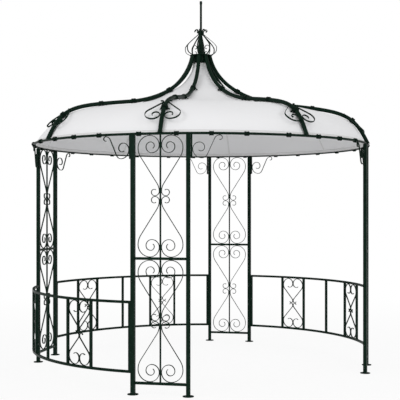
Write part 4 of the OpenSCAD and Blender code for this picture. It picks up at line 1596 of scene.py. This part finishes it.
# Name, place, aim, size and power of each lamp. The back lamp isn't seen in reflections,
# where it would turn the tops of the ribs grey.
LAMPS = (
    ("key_softbox", (-5.2, -8.3, 6.2), (0, 0, 1.4), 4.5, 312),
    ("fill_softbox", (7.0, -5.0, 4.5), (0, 0, 1.4), 5.0, 165),
    ("back_softbox", (1.0, 8.0, 6.5), (0, 0, 1.8), 4.5, 120),
)
CAMERA_PLACE = (1.7207, -8.1903, 1.3925)
CAMERA_TURN = (90.0, 0.0, 11.307)
CAMERA_SHIFT = (-0.0246, 0.0271)
FOCAL_LENGTH = 82.56
SENSOR_WIDTH = 36.0
FLOOR_REACH = 120.0
FLOOR_GREY = (0.80, 0.80, 0.80, 1.0)
FLOOR_WHITE = 0.90  # how much of the white backdrop the floor shows near the object
FLOOR_FADE = (2.4, 7.0)  # distances over which that grows to 1
WORLD_STRENGTH = 0.61


def studio_floor():
    """Pale floor that fades into the white background and keeps a soft shadow."""
    recipe = Recipe("studio_floor")
    rays = recipe.add("ShaderNodeLightPath").outputs
    seen = recipe.maths("MAXIMUM", rays["Is Camera Ray"], rays["Is Glossy Ray"])
    seen = recipe.maths("MAXIMUM", seen, rays["Is Transmission Ray"])
    spot = recipe.add("ShaderNodeTexCoord").outputs["Object"]
    away = recipe.add("ShaderNodeVectorMath", {0: spot}, operation="LENGTH").outputs["Value"]
    share_white = recipe.maths("MULTIPLY", seen, recipe.spread(away, *FLOOR_FADE, FLOOR_WHITE, 1.0))
    matt = recipe.add("ShaderNodeBsdfDiffuse", {"Color": FLOOR_GREY})
    white = recipe.add("ShaderNodeEmission", {"Color": WHITE, "Strength": 1.0})
    both = recipe.add("ShaderNodeMixShader", {
        0: share_white, 1: matt.outputs[0], 2: white.outputs[0]
    })
    return recipe.finish(both.outputs[0])


def studio_world():
    """Soft light from all round, and a white background."""
    recipe = Recipe("studio", bpy.data.worlds, "ShaderNodeOutputWorld")
    rays = recipe.add("ShaderNodeLightPath").outputs
    seen = recipe.maths("MAXIMUM", rays["Is Camera Ray"], rays["Is Transmission Ray"])
    soft = recipe.add("ShaderNodeBackground", {"Color": WHITE, "Strength": WORLD_STRENGTH})
    plain = recipe.add("ShaderNodeBackground", {"Color": WHITE, "Strength": 1.0})
    both = recipe.add("ShaderNodeMixShader", {
        0: seen, 1: soft.outputs[0], 2: plain.outputs[0]
    })
    return recipe.finish(both.outputs[0])


def softbox(name, place, aim, size, energy):
    """Square studio lamp that is turned to a point."""
    lamp = bpy.data.lights.new(name, "AREA")
    lamp.shape = "SQUARE"
    lamp.size = size
    lamp.energy = energy
    made = bpy.data.objects.new(name, lamp)
    bpy.context.scene.collection.objects.link(made)
    made.location = place
    made.rotation_euler = (Vector(aim) - Vector(place)).to_track_quat("-Z", "Y").to_euler()
    return made


class GAZEBO_OT_stage(Operator):
    """Floor, lamps, world and camera"""

    bl_idname = "gazebo.stage"
    bl_label = "Stage"

    def execute(self, context):
        scene = context.scene
        bm = bmesh.new()
        bmesh.ops.create_grid(bm, x_segments=1, y_segments=1, size=FLOOR_REACH)
        mesh = mesh_of(bm, "studio_floor")
        mesh.materials.append(studio_floor())
        floor = bpy.data.objects.new("studio_floor", mesh)
        scene.collection.objects.link(floor)
        scene.world = studio_world()
        for name, place, aim, size, energy in LAMPS:
            lamp = softbox(name, place, aim, size, energy)
            lamp.visible_glossy = name != "back_softbox"
        camera = bpy.data.cameras.new("camera")
        camera.lens = FOCAL_LENGTH
        camera.sensor_width = SENSOR_WIDTH
        camera.shift_x, camera.shift_y = CAMERA_SHIFT
        camera.clip_end = 3.5 * FLOOR_REACH
        view = bpy.data.objects.new("camera", camera)
        scene.collection.objects.link(view)
        view.location = CAMERA_PLACE
        view.rotation_euler = [math.radians(turn) for turn in CAMERA_TURN]
        scene.camera = view
        scene.view_settings.view_transform = "Standard"
        return {"FINISHED"}


# ---- Panel and running -------------------------------------------------------

STEPS = (
    GAZEBO_OT_stage, GAZEBO_OT_feet, GAZEBO_OT_posts, GAZEBO_OT_lattices, GAZEBO_OT_railings,
    GAZEBO_OT_brackets, GAZEBO_OT_ring, GAZEBO_OT_ribs, GAZEBO_OT_crown_plate,
    GAZEBO_OT_onion_crown, GAZEBO_OT_finial, GAZEBO_OT_straps, GAZEBO_OT_cover,
)
GROUPS = (
    ("gazebo_frame", FrameSizes), ("gazebo_scrolls", ScrollSizes), ("gazebo_roof", RoofSizes),
    ("gazebo_cover", CoverSizes), ("gazebo_finishes", Finishes),
)


class GAZEBO_PT_panel(Panel):
    """Sizes, finishes and the steps that build the gazebo"""

    bl_idname = "GAZEBO_PT_panel"
    bl_label = "Round Garden Gazebo"
    bl_space_type = "VIEW_3D"
    bl_region_type = "UI"
    bl_category = "Gazebo"

    def draw(self, context):
        for step in STEPS:
            self.layout.operator(step.bl_idname)
        for name, group in GROUPS:
            box = self.layout.box()
            box.label(text=group.__doc__)
            for key in group.__annotations__:
                box.prop(getattr(context.scene, name), key)


CLASSES = (*(group for _, group in GROUPS), *STEPS, GAZEBO_PT_panel)


def register():
    for cls in CLASSES:
        bpy.utils.register_class(cls)
    for name, group in GROUPS:
        setattr(bpy.types.Scene, name, PointerProperty(type=group))


def unregister():
    for name, _ in GROUPS:
        delattr(bpy.types.Scene, name)
    for cls in reversed(CLASSES):
        bpy.utils.unregister_class(cls)


def main():
    register()
    bpy.ops.gazebo.stage()
    bpy.ops.gazebo.feet()
    bpy.ops.gazebo.posts()
    bpy.ops.gazebo.lattices()
    bpy.ops.gazebo.railings()
    bpy.ops.gazebo.brackets()
    bpy.ops.gazebo.ring()
    bpy.ops.gazebo.ribs()
    bpy.ops.gazebo.crown_plate()
    bpy.ops.gazebo.onion_crown()
    bpy.ops.gazebo.finial()
    bpy.ops.gazebo.straps()
    bpy.ops.gazebo.cover()


if __name__ == "__main__":
    main()
